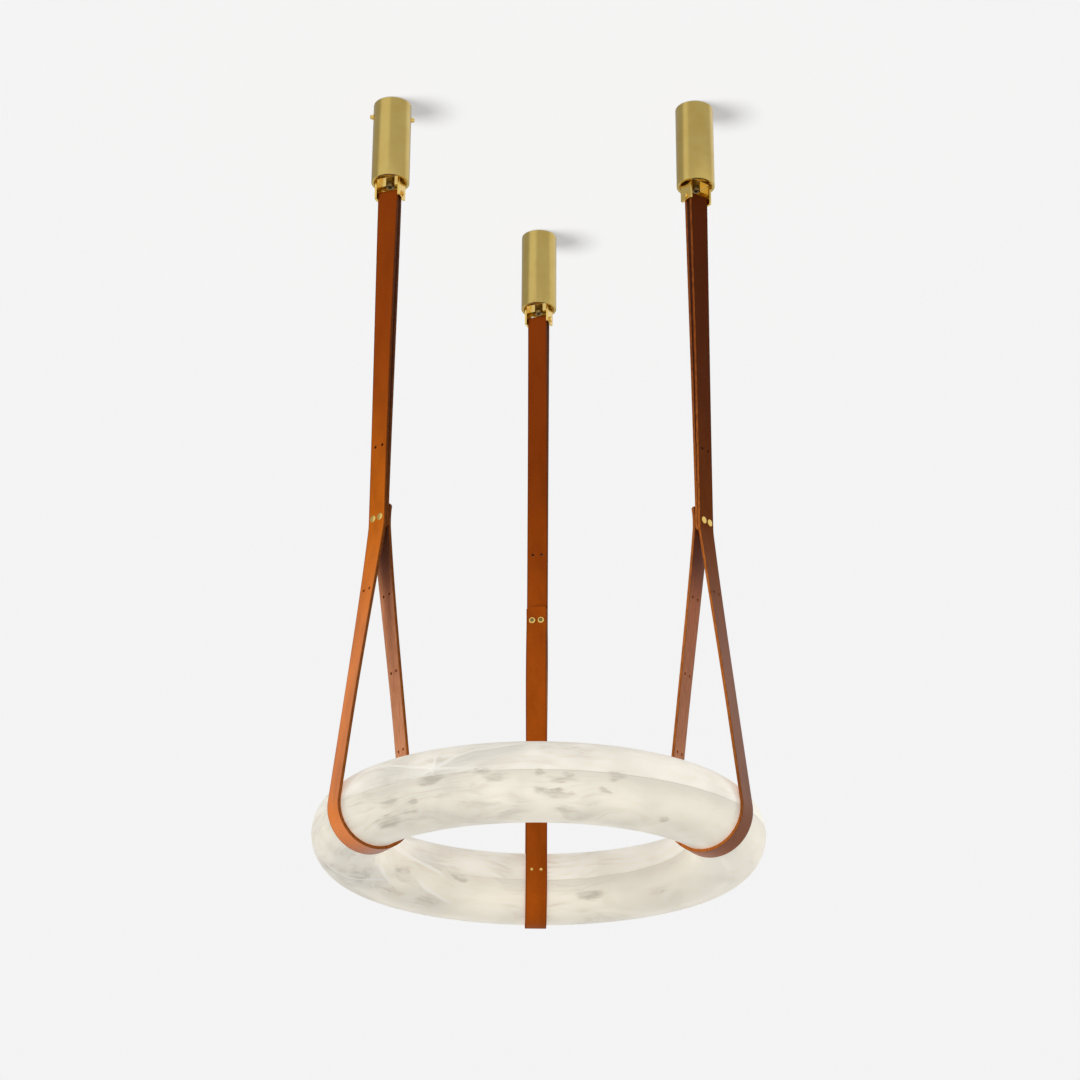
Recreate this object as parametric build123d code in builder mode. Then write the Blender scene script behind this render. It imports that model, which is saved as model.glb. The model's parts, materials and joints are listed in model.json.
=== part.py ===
"""Ring pendant: a hollow alabaster ring slung in three leather straps below three ceiling canisters.

Millimetres, +Z up. The origin lies in the ceiling plane, midway between the canisters.
"""

import os
from math import asin, atan2, cos, degrees, hypot, radians, sin, sqrt, tan

from build123d import *

os.makedirs("parts", exist_ok=True)

# Overall layout
RING_OUTER_DIAMETER = 600.0
TUBE_DIAMETER = 100.0
RING_DROP = 1050.0
JOINT_DROP = 645.0
STATIONS = {"left": 210.0, "right": 330.0, "rear": 90.0}
CLEVIS_TURN = {"left": 39.0, "right": -24.0, "rear": -21.0}

# Canister
COVER_DIAMETER = 54.0
COVER_WALL = 1.5
COVER_HEIGHT = 127.0
COVER_CEILING_GAP = 0.4
LIP_THICKNESS = 7.0
LIP_OPENING = 46.0
COVER_FIT = 0.3
PLATE_THICKNESS = 3.0
SKIRT_HEIGHT = 28.0
SKIRT_WALL = 2.5
BOSS_DIAMETER = 16.0
BOSS_HEIGHT = 14.0
CEILING_HOLE_DIAMETER = 4.5
CEILING_HOLE_OFFSET = 16.0
BOTTOM_PLATE_THICKNESS = 4.0
BOTTOM_PLATE_FIT = 0.5

# Load path inside the canister
ROD_DIAMETER = 10.0
ROD_FIT = 0.05
NUT_ACROSS_FLATS = 16.0
LOCK_NUT_HEIGHT = 5.0
BOLT_DIAMETER = 6.0
BOLT_REACH = 15.0
BOLT_HEAD_DIAMETER = 12.0
BOLT_HEAD_HEIGHT = 11.0
BOLT_SOCKET_ACROSS_FLATS = 5.0
BOLT_SOCKET_DEPTH = 4.0

# Clevis and its pin
STRAP_WIDTH = 30.0
EAR_SIDE_GAP = 0.8
EAR_THICKNESS = 3.2
CLEVIS_DEPTH = 22.0
CLEVIS_BASE = 3.5
EAR_DROP = 23.8
EAR_TAIL = 6.5
EAR_CORNER = 2.0
PIN_DIAMETER = 5.0
PIN_FIT = 0.05
PIN_HEAD_DIAMETER = 9.0
PIN_HEAD_HEIGHT = 2.5
PIN_TAIL = 3.0
GROOVE_DIAMETER = 4.0
CLIP_THICKNESS = 0.9

# Strap
STRAP_THICKNESS = 4.0
LAYER_GAP = 0.4
PIN_GAP = 0.6
RING_GAP = 0.9
LAP_ABOVE = 22.0
LAP_BELOW = 14.0
LAP_TURN_SHARE = 0.43
TWIST_MARGIN = 10.0
TWIST_SECTIONS = 10
LEG_SECTIONS = 8
LEG_BEND_DROP = 11.0
LEG_BEND_RADIUS = 50.0
HOLE_DIAMETER = 4.0
HOLE_SPACING = 13.0
HOLE_PITCH = 106.0
INNER_HOLES = {"left": (1, 2, 3), "right": (1, 2, 3), "rear": (2, 3)}
STUD_RISE = 14.0

# Screw rivets and studs
POST_DIAMETER = 5.0
POST_FIT = 0.1
HEAD_DIAMETER = 10.0
HEAD_HEIGHT = 1.8
SCREW_DIAMETER = 3.4
SCREW_LENGTH = 8.0
SOCKET_ACROSS_FLATS = 5.0
SOCKET_DEPTH = 1.4
STUD_HEAD_DIAMETER = 4.5
STUD_HEAD_HEIGHT = 1.2
STUD_SHANK_DIAMETER = 2.8

# Side screws of the left cover
SIDE_SCREW_DROP = 20.0
SIDE_SCREW_HEADING = 7.0
SIDE_SCREW_DIAMETER = 4.0
SIDE_SCREW_FIT = 0.15
SIDE_HEAD_DIAMETER = 8.0
SIDE_HEAD_LENGTH = 4.5
SIDE_HEAD_GAP = 0.3
SIDE_TIP_GAP = 0.1

# Ring and its light source
SHELL_WALL = 9.0
SEAM_LIP = 4.0
SEAM_FIT = 0.2
CARRIER_WIDTH = 16.0
CARRIER_HEIGHT = 10.0
STRIP_THICKNESS = 1.2
STRIP_HEIGHT = 8.0
CHIP_COUNT = 36
CHIP_LENGTH = 5.0
CHIP_HEIGHT = 3.5
CHIP_RISE = 1.4
CHIP_SEAT = 0.2
FOOT_DIAMETER = 8.0
FOOT_COUNT = 6
FOOT_SEAT = 0.1
FEED_HOLE_DIAMETER = 7.0
GROMMET_FLANGE = 2.0
GROMMET_FLANGE_THICKNESS = 1.5
GROMMET_FIT = 0.05
GROMMET_BORE = 4.0

# Electrical pieces in the left canister
DRIVER_WIDTH = 30.0
DRIVER_DEPTH = 12.5
DRIVER_HEIGHT = 66.0
DRIVER_ROD_GAP = 1.2
DRIVER_PAD_WIDTH = 20.0
DRIVER_PAD_DEPTH = 8.0
TERMINAL_WIDTH = 18.0
TERMINAL_DEPTH = 8.5
TERMINAL_HEIGHT = 12.0
TERMINAL_POLES = 3
MAINS_HOLE_DIAMETER = 8.0
MAINS_HOLE_OFFSET = 14.0

# Sizes that follow from those above
TUBE_RADIUS = TUBE_DIAMETER / 2
CAVITY_RADIUS = TUBE_RADIUS - SHELL_WALL
CENTRE_RADIUS = RING_OUTER_DIAMETER / 2 - TUBE_RADIUS
COVER_BORE = COVER_DIAMETER / 2 - COVER_WALL
SKIRT_RADIUS = COVER_BORE - COVER_FIT
BOTTOM_PLATE_RADIUS = COVER_BORE - BOTTOM_PLATE_FIT
PLATE_UNDERSIDE = COVER_HEIGHT - LIP_THICKNESS - COVER_FIT
PLATE_TOP = PLATE_UNDERSIDE - BOTTOM_PLATE_THICKNESS
CLEVIS_UNDERSIDE = PLATE_UNDERSIDE + CLEVIS_BASE
PIN_DROP = CLEVIS_UNDERSIDE + EAR_DROP
EAR_INNER = STRAP_WIDTH / 2 + EAR_SIDE_GAP
EAR_OUTER = EAR_INNER + EAR_THICKNESS
FOLD_INNER = PIN_DIAMETER / 2 + PIN_GAP
FOLD_OUTER = FOLD_INNER + STRAP_THICKNESS
FOLD_MIDDLE = FOLD_INNER + STRAP_THICKNESS / 2
LAYER_PITCH = STRAP_THICKNESS + LAYER_GAP
STACK_HALF = LAYER_PITCH + STRAP_THICKNESS / 2
WRAP_RADIUS = TUBE_RADIUS + RING_GAP + STRAP_THICKNESS / 2
TWIST_END = JOINT_DROP - LAP_ABOVE - TWIST_MARGIN
LEG_BEND = JOINT_DROP + LEG_BEND_DROP
BEND_HEIGHT = RING_DROP - LEG_BEND
LEG_LEAN = asin(WRAP_RADIUS / hypot(LAYER_PITCH, BEND_HEIGHT)) - atan2(LAYER_PITCH, BEND_HEIGHT)
BEND_START = LEG_BEND - LEG_BEND_RADIUS * tan(LEG_LEAN / 2)
BEND_END = LEG_BEND + LEG_BEND_RADIUS * tan(LEG_LEAN / 2) * cos(LEG_LEAN)
LEG_TWIST_END = RING_DROP - TUBE_DIAMETER
SIDE_TIP_RADIUS = SKIRT_RADIUS + SIDE_TIP_GAP
SIDE_HEAD_RADIUS = COVER_DIAMETER / 2 + SIDE_HEAD_GAP


def station(angle):
    """Ceiling plane under one canister: x points away from the ring's axis, y along the ring."""
    heading = Vector(cos(radians(angle)), sin(radians(angle)), 0)
    return Plane(origin=heading * CENTRE_RADIUS, x_dir=heading, z_dir=(0, 0, 1))


def upright(base, drop):
    """Vertical plane across the ring: x as in the base plane, y up, at a depth below the ceiling."""
    return Plane(origin=base.origin - base.z_dir * drop, x_dir=base.x_dir, z_dir=-base.y_dir)


def facing(base, drop):
    """Vertical plane that faces away from the ring's axis: x along the strap's width, y up."""
    return Plane(origin=base.origin - base.z_dir * drop, x_dir=base.y_dir, z_dir=base.x_dir)


def along_pin(base):
    """Plane across the clevis pin at its middle: x over the pin, y up."""
    return upright(base, PIN_DROP)


def turned_level(base, turn, drop):
    """Base plane turned as the strap is at a depth: from the clevis's turn to the lap's, then to none."""
    lap_turn = turn * LAP_TURN_SHARE
    from_pin = min(1, (drop - PIN_DROP) / (TWIST_END - PIN_DROP))
    from_lap = min(1, max(0, (drop - BEND_END) / (LEG_TWIST_END - BEND_END)))
    angle = (turn - lap_turn) * (1 - from_pin) ** 2 + lap_turn * (1 - from_lap) ** 2
    return base.rotated((0, 0, angle))


def leg_offset(drop):
    """Distance of a leg's middle from the strap's middle plane: even in the lap, then a straight lean."""
    return LAYER_PITCH + max(0, drop - LEG_BEND) * tan(LEG_LEAN)


def leg_plane(base, side, drop):
    """Plane on the middle of a strap leg (side 1 outside the ring, -1 inside), facing outwards."""
    normal = base.x_dir * (side * cos(LEG_LEAN)) + base.z_dir * sin(LEG_LEAN)
    origin = base.origin + base.x_dir * (side * leg_offset(drop)) - base.z_dir * drop
    return Plane(origin=origin, x_dir=base.y_dir, z_dir=normal)


def save(builder, label):
    """Name one piece and write it to its own file."""
    builder.part.label = label
    export_step(builder.part, f"parts/{label}.step")


def make_ceiling_plate(base, label, mains_hole):
    """Steel plate screwed to the ceiling, with the skirt that guides the cover."""
    with BuildPart() as plate:
        with BuildSketch(base):
            Circle(SKIRT_RADIUS)
        extrude(amount=-SKIRT_HEIGHT)
        with BuildSketch(base.offset(-PLATE_THICKNESS)):
            Circle(SKIRT_RADIUS - SKIRT_WALL)
        extrude(amount=-SKIRT_HEIGHT, mode=Mode.SUBTRACT)
        with BuildSketch(base.offset(-PLATE_THICKNESS)):
            Circle(BOSS_DIAMETER / 2)
        extrude(amount=PLATE_THICKNESS - BOSS_HEIGHT)
        with BuildSketch(base):
            Circle(ROD_DIAMETER / 2 + ROD_FIT)
            with Locations((CEILING_HOLE_OFFSET, 0), (-CEILING_HOLE_OFFSET, 0)):
                Circle(CEILING_HOLE_DIAMETER / 2)
            if mains_hole:
                with Locations((0, MAINS_HOLE_OFFSET)):
                    Circle(MAINS_HOLE_DIAMETER / 2)
        extrude(amount=-SKIRT_HEIGHT, mode=Mode.SUBTRACT)
    save(plate, label)


def make_cover(base, label, screw_base):
    """Brass tube with an in-turned lip, which slides down past the clevis."""
    with BuildPart() as cover:
        with BuildSketch(base.offset(-COVER_CEILING_GAP)):
            Circle(COVER_DIAMETER / 2)
        extrude(amount=COVER_CEILING_GAP - COVER_HEIGHT)
        with BuildSketch(base.offset(-COVER_CEILING_GAP)):
            Circle(COVER_BORE)
        extrude(amount=COVER_CEILING_GAP - COVER_HEIGHT + LIP_THICKNESS, mode=Mode.SUBTRACT)
        with BuildSketch(base.offset(-COVER_HEIGHT)):
            Circle(LIP_OPENING / 2)
        extrude(amount=LIP_THICKNESS, mode=Mode.SUBTRACT)
        if screw_base is not None:
            with BuildSketch(facing(screw_base, SIDE_SCREW_DROP)):
                Circle(SIDE_SCREW_DIAMETER / 2 + SIDE_SCREW_FIT)
            extrude(amount=COVER_DIAMETER, both=True, mode=Mode.SUBTRACT)
    save(cover, label)


def make_rod(base, label):
    """Threaded tube from the ceiling plate to the bottom plate, tapped for the clevis bolt."""
    with BuildPart() as rod:
        with BuildSketch(base.offset(-COVER_CEILING_GAP)):
            Circle(ROD_DIAMETER / 2)
            Circle(BOLT_DIAMETER / 2 + ROD_FIT, mode=Mode.SUBTRACT)
        extrude(amount=COVER_CEILING_GAP - PLATE_UNDERSIDE)
    save(rod, label)


def make_rod_nuts(base, label):
    """Lock nuts under the ceiling plate's boss and on the bottom plate."""
    with BuildPart() as nuts:
        for top in (BOSS_HEIGHT, PLATE_TOP - LOCK_NUT_HEIGHT):
            with BuildSketch(base.offset(-top)):
                RegularPolygon(NUT_ACROSS_FLATS / 2, 6, major_radius=False)
                Circle(ROD_DIAMETER / 2 + ROD_FIT, mode=Mode.SUBTRACT)
            extrude(amount=-LOCK_NUT_HEIGHT)
    save(nuts, label)


def make_bottom_plate(base, label):
    """Brass disc that closes the canister just above the cover's lip."""
    with BuildPart() as disc:
        with BuildSketch(base.offset(-PLATE_TOP)):
            Circle(BOTTOM_PLATE_RADIUS)
            Circle(ROD_DIAMETER / 2 + ROD_FIT, mode=Mode.SUBTRACT)
        extrude(amount=-BOTTOM_PLATE_THICKNESS)
    save(disc, label)


def make_clevis(base, label):
    """U-shaped bracket whose two ears carry the cross pin."""
    with BuildPart() as clevis:
        with BuildSketch(base.offset(-PLATE_UNDERSIDE)):
            Rectangle(CLEVIS_DEPTH, 2 * EAR_OUTER)
        extrude(amount=-CLEVIS_BASE)
        for side in (1, -1):
            with BuildSketch(along_pin(base).offset(side * EAR_INNER)) as ear:
                with Locations((0, (EAR_DROP - EAR_TAIL) / 2)):
                    Rectangle(CLEVIS_DEPTH, EAR_DROP + EAR_TAIL)
                fillet(ear.vertices().group_by(Axis.Y)[0], EAR_CORNER)
            extrude(amount=side * EAR_THICKNESS)
        with BuildSketch(along_pin(base)):
            Circle(PIN_DIAMETER / 2 + PIN_FIT)
        extrude(amount=EAR_OUTER, both=True, mode=Mode.SUBTRACT)
        with BuildSketch(base.offset(-PLATE_UNDERSIDE)):
            Circle(BOLT_DIAMETER / 2 + ROD_FIT)
        extrude(amount=-CLEVIS_BASE, mode=Mode.SUBTRACT)
    save(clevis, label)


def make_clevis_bolt(base, label):
    """Socket-head bolt up through the clevis into the rod, its head between the ears."""
    with BuildPart() as bolt:
        with BuildSketch(base.offset(-CLEVIS_UNDERSIDE)):
            Circle(BOLT_HEAD_DIAMETER / 2)
        extrude(amount=-BOLT_HEAD_HEIGHT)
        with BuildSketch(base.offset(-CLEVIS_UNDERSIDE)):
            Circle(BOLT_DIAMETER / 2)
        extrude(amount=CLEVIS_BASE + BOLT_REACH)
        with BuildSketch(base.offset(-CLEVIS_UNDERSIDE - BOLT_HEAD_HEIGHT)):
            RegularPolygon(BOLT_SOCKET_ACROSS_FLATS / 2, 6, major_radius=False)
        extrude(amount=BOLT_SOCKET_DEPTH, mode=Mode.SUBTRACT)
    save(bolt, label)


def make_clevis_pin(base, label):
    """Headed cross pin with a groove for its clip."""
    with BuildPart() as pin:
        with BuildSketch(along_pin(base).offset(-EAR_OUTER - PIN_TAIL)):
            Circle(PIN_DIAMETER / 2)
        extrude(amount=2 * EAR_OUTER + PIN_TAIL)
        with BuildSketch(along_pin(base).offset(EAR_OUTER)):
            Circle(PIN_HEAD_DIAMETER / 2)
        extrude(amount=PIN_HEAD_HEIGHT)
        chamfer(pin.edges().group_by(Axis(base.origin, base.y_dir))[0], PIN_DIAMETER / 10)
        with BuildSketch(along_pin(base).offset(-EAR_OUTER)):
            Circle(PIN_DIAMETER / 2)
            Circle(GROOVE_DIAMETER / 2, mode=Mode.SUBTRACT)
        extrude(amount=-CLIP_THICKNESS, mode=Mode.SUBTRACT)
    save(pin, label)


def make_pin_clip(base, label):
    """Open spring clip in the pin's groove."""
    with BuildPart() as clip:
        with BuildSketch(along_pin(base).offset(-EAR_OUTER)):
            Circle(PIN_HEAD_DIAMETER / 2)
            Circle(GROOVE_DIAMETER / 2 + PIN_FIT, mode=Mode.SUBTRACT)
            with Locations((0, -PIN_HEAD_DIAMETER / 2)):
                Rectangle(GROOVE_DIAMETER * 0.8, PIN_HEAD_DIAMETER, mode=Mode.SUBTRACT)
        extrude(amount=-CLIP_THICKNESS)
    save(clip, label)


def make_strap(base, turn, inner_holes, label):
    """One leather strip: folded over the pin, twisted to the lap, slung under the ring and lapped."""
    top = base.rotated((0, 0, turn))
    lap = turned_level(base, turn, JOINT_DROP)
    steps = [k / TWIST_SECTIONS for k in range(TWIST_SECTIONS + 1)]
    leg_steps = [k / LEG_SECTIONS for k in range(LEG_SECTIONS + 1)]
    leg_drops = [BEND_END + (LEG_TWIST_END - BEND_END) * share for share in leg_steps]
    tangent = (WRAP_RADIUS * cos(LEG_LEAN), WRAP_RADIUS * sin(LEG_LEAN) - RING_DROP)
    sling_top = LEG_TWIST_END - STRAP_WIDTH
    sweep_angle = 180 + 2 * degrees(LEG_LEAN)
    with BuildPart() as strap:
        with BuildSketch(along_pin(top)):
            Circle(FOLD_OUTER)
            Circle(FOLD_INNER, mode=Mode.SUBTRACT)
            with Locations((0, -FOLD_OUTER / 2)):
                Rectangle(2 * FOLD_OUTER, FOLD_OUTER, mode=Mode.SUBTRACT)
        extrude(amount=STRAP_WIDTH / 2, both=True)
        for start, end in ((FOLD_MIDDLE, LAYER_PITCH), (-FOLD_MIDDLE, 0.0)):
            for share in steps:
                drop = PIN_DROP + (TWIST_END - PIN_DROP) * share
                with BuildSketch(turned_level(base, turn, drop).offset(-drop)):
                    with Locations((start + (end - start) * share, 0)):
                        Rectangle(STRAP_THICKNESS, STRAP_WIDTH)
            loft(ruled=True)
        with BuildSketch(lap.offset(-TWIST_END)):
            Rectangle(STRAP_THICKNESS, STRAP_WIDTH)
        extrude(amount=TWIST_END - JOINT_DROP - LAP_BELOW)
        for side, leg_top in ((1, TWIST_END), (-1, JOINT_DROP - LAP_ABOVE)):
            for drop in [leg_top, BEND_START] + leg_drops:
                level_cut = STRAP_THICKNESS / cos(LEG_LEAN) if drop >= BEND_END else STRAP_THICKNESS
                with BuildSketch(turned_level(base, turn, drop).offset(-drop)):
                    with Locations((side * leg_offset(drop), 0)):
                        Rectangle(level_cut, STRAP_WIDTH)
            loft(ruled=True)
        with BuildSketch(upright(base, 0)):
            with BuildLine():
                Line((leg_offset(sling_top), -sling_top), tangent)
                CenterArc((0, -RING_DROP), WRAP_RADIUS, degrees(LEG_LEAN), -sweep_angle)
                Line((-tangent[0], tangent[1]), (-leg_offset(sling_top), -sling_top))
            trace(line_width=STRAP_THICKNESS)
            with Locations((0, STRAP_WIDTH - LEG_TWIST_END)):
                Rectangle(2 * WRAP_RADIUS, 2 * STRAP_WIDTH, mode=Mode.SUBTRACT)
        extrude(amount=STRAP_WIDTH / 2, both=True)
        with BuildSketch(facing(lap, JOINT_DROP)):
            with Locations((HOLE_SPACING / 2, 0), (-HOLE_SPACING / 2, 0)):
                Circle(POST_DIAMETER / 2 + POST_FIT)
        extrude(amount=2 * STACK_HALF, both=True, mode=Mode.SUBTRACT)
        upper_drop = JOINT_DROP - HOLE_PITCH
        hole_planes = [facing(turned_level(base, turn, upper_drop), upper_drop)]
        for side, count in [(1, 1)] + [(-1, number) for number in inner_holes]:
            drop = JOINT_DROP + count * HOLE_PITCH
            hole_planes.append(leg_plane(turned_level(base, turn, drop), side, drop))
        for hole_plane in hole_planes:
            with BuildSketch(hole_plane):
                with Locations((HOLE_SPACING / 2, 0), (-HOLE_SPACING / 2, 0)):
                    Circle(HOLE_DIAMETER / 2)
            extrude(amount=3 * STRAP_THICKNESS, both=True, mode=Mode.SUBTRACT)
        with BuildSketch(leg_plane(base, -1, RING_DROP - STUD_RISE)):
            with Locations((HOLE_SPACING / 2, 0), (-HOLE_SPACING / 2, 0)):
                Circle(STUD_SHANK_DIAMETER / 2 + ROD_FIT)
        extrude(amount=3 * STRAP_THICKNESS, both=True, mode=Mode.SUBTRACT)
    save(strap, label)


def make_posts(base, label):
    """Two rivet posts with domed heads on the strap's outer face."""
    with BuildPart() as posts:
        with BuildSketch(facing(base, JOINT_DROP).offset(STACK_HALF)):
            with Locations((HOLE_SPACING / 2, 0), (-HOLE_SPACING / 2, 0)):
                Circle(HEAD_DIAMETER / 2)
        extrude(amount=HEAD_HEIGHT)
        fillet(posts.edges().group_by(Axis(base.origin, base.x_dir))[-1], HEAD_HEIGHT * 0.8)
        with BuildSketch(facing(base, JOINT_DROP).offset(STACK_HALF)):
            with Locations((HOLE_SPACING / 2, 0), (-HOLE_SPACING / 2, 0)):
                Circle(POST_DIAMETER / 2)
        extrude(amount=-2 * STACK_HALF)
        with BuildSketch(facing(base, JOINT_DROP).offset(-STACK_HALF)):
            with Locations((HOLE_SPACING / 2, 0), (-HOLE_SPACING / 2, 0)):
                Circle(SCREW_DIAMETER / 2 + ROD_FIT)
        extrude(amount=SCREW_LENGTH + STRAP_THICKNESS / 4, mode=Mode.SUBTRACT)
    save(posts, label)


def make_screws(base, label):
    """Two rivet screws with sockets on the strap's inner face."""
    with BuildPart() as screws:
        with BuildSketch(facing(base, JOINT_DROP).offset(-STACK_HALF)):
            with Locations((HOLE_SPACING / 2, 0), (-HOLE_SPACING / 2, 0)):
                Circle(HEAD_DIAMETER / 2)
        extrude(amount=-HEAD_HEIGHT)
        fillet(screws.edges().group_by(Axis(base.origin, base.x_dir))[0], HEAD_HEIGHT * 0.6)
        with BuildSketch(facing(base, JOINT_DROP).offset(-STACK_HALF)):
            with Locations((HOLE_SPACING / 2, 0), (-HOLE_SPACING / 2, 0)):
                Circle(SCREW_DIAMETER / 2)
        extrude(amount=SCREW_LENGTH)
        with BuildSketch(facing(base, JOINT_DROP).offset(-STACK_HALF - HEAD_HEIGHT)):
            with Locations((HOLE_SPACING / 2, 0), (-HOLE_SPACING / 2, 0)):
                RegularPolygon(SOCKET_ACROSS_FLATS / 2, 6, major_radius=False)
        extrude(amount=SOCKET_DEPTH, mode=Mode.SUBTRACT)
    save(screws, label)


def make_studs(base, label):
    """Two small studs through the strap's inner leg, just above the ring's equator."""
    seat = leg_plane(base, -1, RING_DROP - STUD_RISE).offset(STRAP_THICKNESS / 2)
    with BuildPart() as studs:
        with BuildSketch(seat):
            with Locations((HOLE_SPACING / 2, 0), (-HOLE_SPACING / 2, 0)):
                Circle(STUD_HEAD_DIAMETER / 2)
        extrude(amount=STUD_HEAD_HEIGHT)
        fillet(studs.edges().group_by(Axis(seat.origin, seat.z_dir))[-1], STUD_HEAD_HEIGHT * 0.8)
        with BuildSketch(seat):
            with Locations((HOLE_SPACING / 2, 0), (-HOLE_SPACING / 2, 0)):
                Circle(STUD_SHANK_DIAMETER / 2)
        extrude(amount=-STRAP_THICKNESS)
    save(studs, label)


def make_side_screw(base, label):
    """Slotted screw that holds the left cover by pressing on the skirt."""
    seat = facing(base, SIDE_SCREW_DROP)
    with BuildPart() as screw:
        with BuildSketch(seat.offset(SIDE_HEAD_RADIUS)):
            Circle(SIDE_HEAD_DIAMETER / 2)
        extrude(amount=SIDE_HEAD_LENGTH, taper=18)
        with BuildSketch(seat.offset(SIDE_TIP_RADIUS)):
            Circle(SIDE_SCREW_DIAMETER / 2)
        extrude(amount=SIDE_HEAD_RADIUS - SIDE_TIP_RADIUS)
        with BuildSketch(seat.offset(SIDE_HEAD_RADIUS + SIDE_HEAD_LENGTH)):
            Rectangle(SIDE_HEAD_DIAMETER, SIDE_HEAD_DIAMETER / 8)
        extrude(amount=-SIDE_HEAD_LENGTH / 4, mode=Mode.SUBTRACT)
    save(screw, label)


def make_grommet(seat, hole, wall, label):
    """Rubber bush in a wall: seat is the wall's outer face, its normal pointing out."""
    with BuildPart() as grommet:
        with BuildSketch(seat.offset(-wall)):
            Circle(hole / 2 - GROMMET_FIT)
        extrude(amount=wall)
        with BuildSketch(seat):
            Circle(hole / 2 + GROMMET_FLANGE)
        extrude(amount=GROMMET_FLANGE_THICKNESS)
        with BuildSketch(seat.offset(-wall)):
            Circle(GROMMET_BORE / 2)
        extrude(amount=wall + GROMMET_FLANGE_THICKNESS, mode=Mode.SUBTRACT)
    save(grommet, label)


for name, angle in STATIONS.items():
    here = station(angle)
    turned = here.rotated((0, 0, CLEVIS_TURN[name]))
    lapped = turned_level(here, CLEVIS_TURN[name], JOINT_DROP)
    east = Plane(origin=here.origin, z_dir=(0, 0, 1)).rotated((0, 0, SIDE_SCREW_HEADING))
    make_ceiling_plate(here, f"ceiling_plate_{name}", name == "left")
    make_cover(here, f"cover_tube_{name}", east if name == "left" else None)
    make_rod(here, f"hanger_rod_{name}")
    make_rod_nuts(here, f"rod_nuts_{name}")
    make_bottom_plate(here, f"bottom_plate_{name}")
    make_clevis(turned, f"clevis_{name}")
    make_clevis_bolt(turned, f"clevis_bolt_{name}")
    make_clevis_pin(turned, f"clevis_pin_{name}")
    make_pin_clip(turned, f"pin_clip_{name}")
    make_strap(here, CLEVIS_TURN[name], INNER_HOLES[name], f"strap_{name}")
    make_posts(lapped, f"strap_posts_{name}")
    make_screws(lapped, f"strap_screws_{name}")
    make_studs(here, f"ring_studs_{name}")

feed = station(STATIONS["left"])
eastward = Plane(origin=feed.origin, z_dir=(0, 0, 1)).rotated((0, 0, SIDE_SCREW_HEADING))
make_side_screw(eastward, "side_screw_a")
make_side_screw(eastward.rotated((0, 0, 180)), "side_screw_b")

with BuildPart() as led_driver:
    with BuildSketch(feed.offset(LOCK_NUT_HEIGHT * 2 - PLATE_TOP)):
        with Locations((0, ROD_DIAMETER / 2 + DRIVER_ROD_GAP + DRIVER_DEPTH / 2)):
            RectangleRounded(DRIVER_WIDTH, DRIVER_DEPTH, DRIVER_DEPTH / 8)
    extrude(amount=DRIVER_HEIGHT)
save(led_driver, "led_driver")

with BuildPart() as driver_pad:
    with BuildSketch(feed.offset(-PLATE_TOP)):
        with Locations((0, NUT_ACROSS_FLATS / 2 + 2 * DRIVER_ROD_GAP + DRIVER_PAD_DEPTH / 2)):
            Rectangle(DRIVER_PAD_WIDTH, DRIVER_PAD_DEPTH)
    extrude(amount=LOCK_NUT_HEIGHT * 2)
save(driver_pad, "driver_pad")

with BuildPart() as terminal_block:
    with BuildSketch(feed.offset(-PLATE_THICKNESS)):
        with Locations((0, -ROD_DIAMETER - TERMINAL_DEPTH / 2)):
            Rectangle(TERMINAL_WIDTH, TERMINAL_DEPTH)
    extrude(amount=-TERMINAL_HEIGHT)
    with BuildSketch(feed.offset(-PLATE_THICKNESS - TERMINAL_HEIGHT)):
        with Locations((0, -ROD_DIAMETER - TERMINAL_DEPTH / 2)):
            with GridLocations(TERMINAL_WIDTH / TERMINAL_POLES, 0, TERMINAL_POLES, 1):
                Circle(TERMINAL_WIDTH / TERMINAL_POLES / 3)
    extrude(amount=TERMINAL_HEIGHT / 2, mode=Mode.SUBTRACT)
save(terminal_block, "terminal_block")

mains_seat = Plane(origin=feed.from_local_coords((0, MAINS_HOLE_OFFSET, -PLATE_THICKNESS)), z_dir=(0, 0, -1))
make_grommet(mains_seat, MAINS_HOLE_DIAMETER, PLATE_THICKNESS - COVER_CEILING_GAP, "mains_grommet")

with BuildPart() as ring_upper_shell:
    with BuildSketch(Plane.XZ):
        with Locations((CENTRE_RADIUS, -RING_DROP)):
            Circle(TUBE_RADIUS)
            Circle(CAVITY_RADIUS, mode=Mode.SUBTRACT)
        with Locations((CENTRE_RADIUS, -RING_DROP - TUBE_RADIUS / 2)):
            Rectangle(TUBE_DIAMETER, TUBE_RADIUS, mode=Mode.SUBTRACT)
        with Locations((CENTRE_RADIUS, -RING_DROP + (SEAM_LIP + SEAM_FIT) / 2)):
            seam_width = 2 * (CAVITY_RADIUS + SHELL_WALL / 2 + SEAM_FIT)
            Rectangle(seam_width, SEAM_LIP + SEAM_FIT, mode=Mode.SUBTRACT)
    revolve(axis=Axis.Z)
    with BuildSketch(feed.offset(-RING_DROP)):
        Circle(FEED_HOLE_DIAMETER / 2)
    extrude(amount=TUBE_DIAMETER, mode=Mode.SUBTRACT)
save(ring_upper_shell, "ring_upper_shell")

with BuildPart() as ring_lower_shell:
    with BuildSketch(Plane.XZ):
        with Locations((CENTRE_RADIUS, -RING_DROP)):
            Circle(TUBE_RADIUS)
            Circle(CAVITY_RADIUS, mode=Mode.SUBTRACT)
        with Locations((CENTRE_RADIUS, -RING_DROP + TUBE_RADIUS / 2)):
            Rectangle(TUBE_DIAMETER, TUBE_RADIUS, mode=Mode.SUBTRACT)
        for side in (1, -1):
            lip_middle = CENTRE_RADIUS + side * (CAVITY_RADIUS + SHELL_WALL / 4)
            with Locations((lip_middle, -RING_DROP + SEAM_LIP / 2)):
                Rectangle(SHELL_WALL / 2, SEAM_LIP)
    revolve(axis=Axis.Z)
save(ring_lower_shell, "ring_lower_shell")

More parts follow.
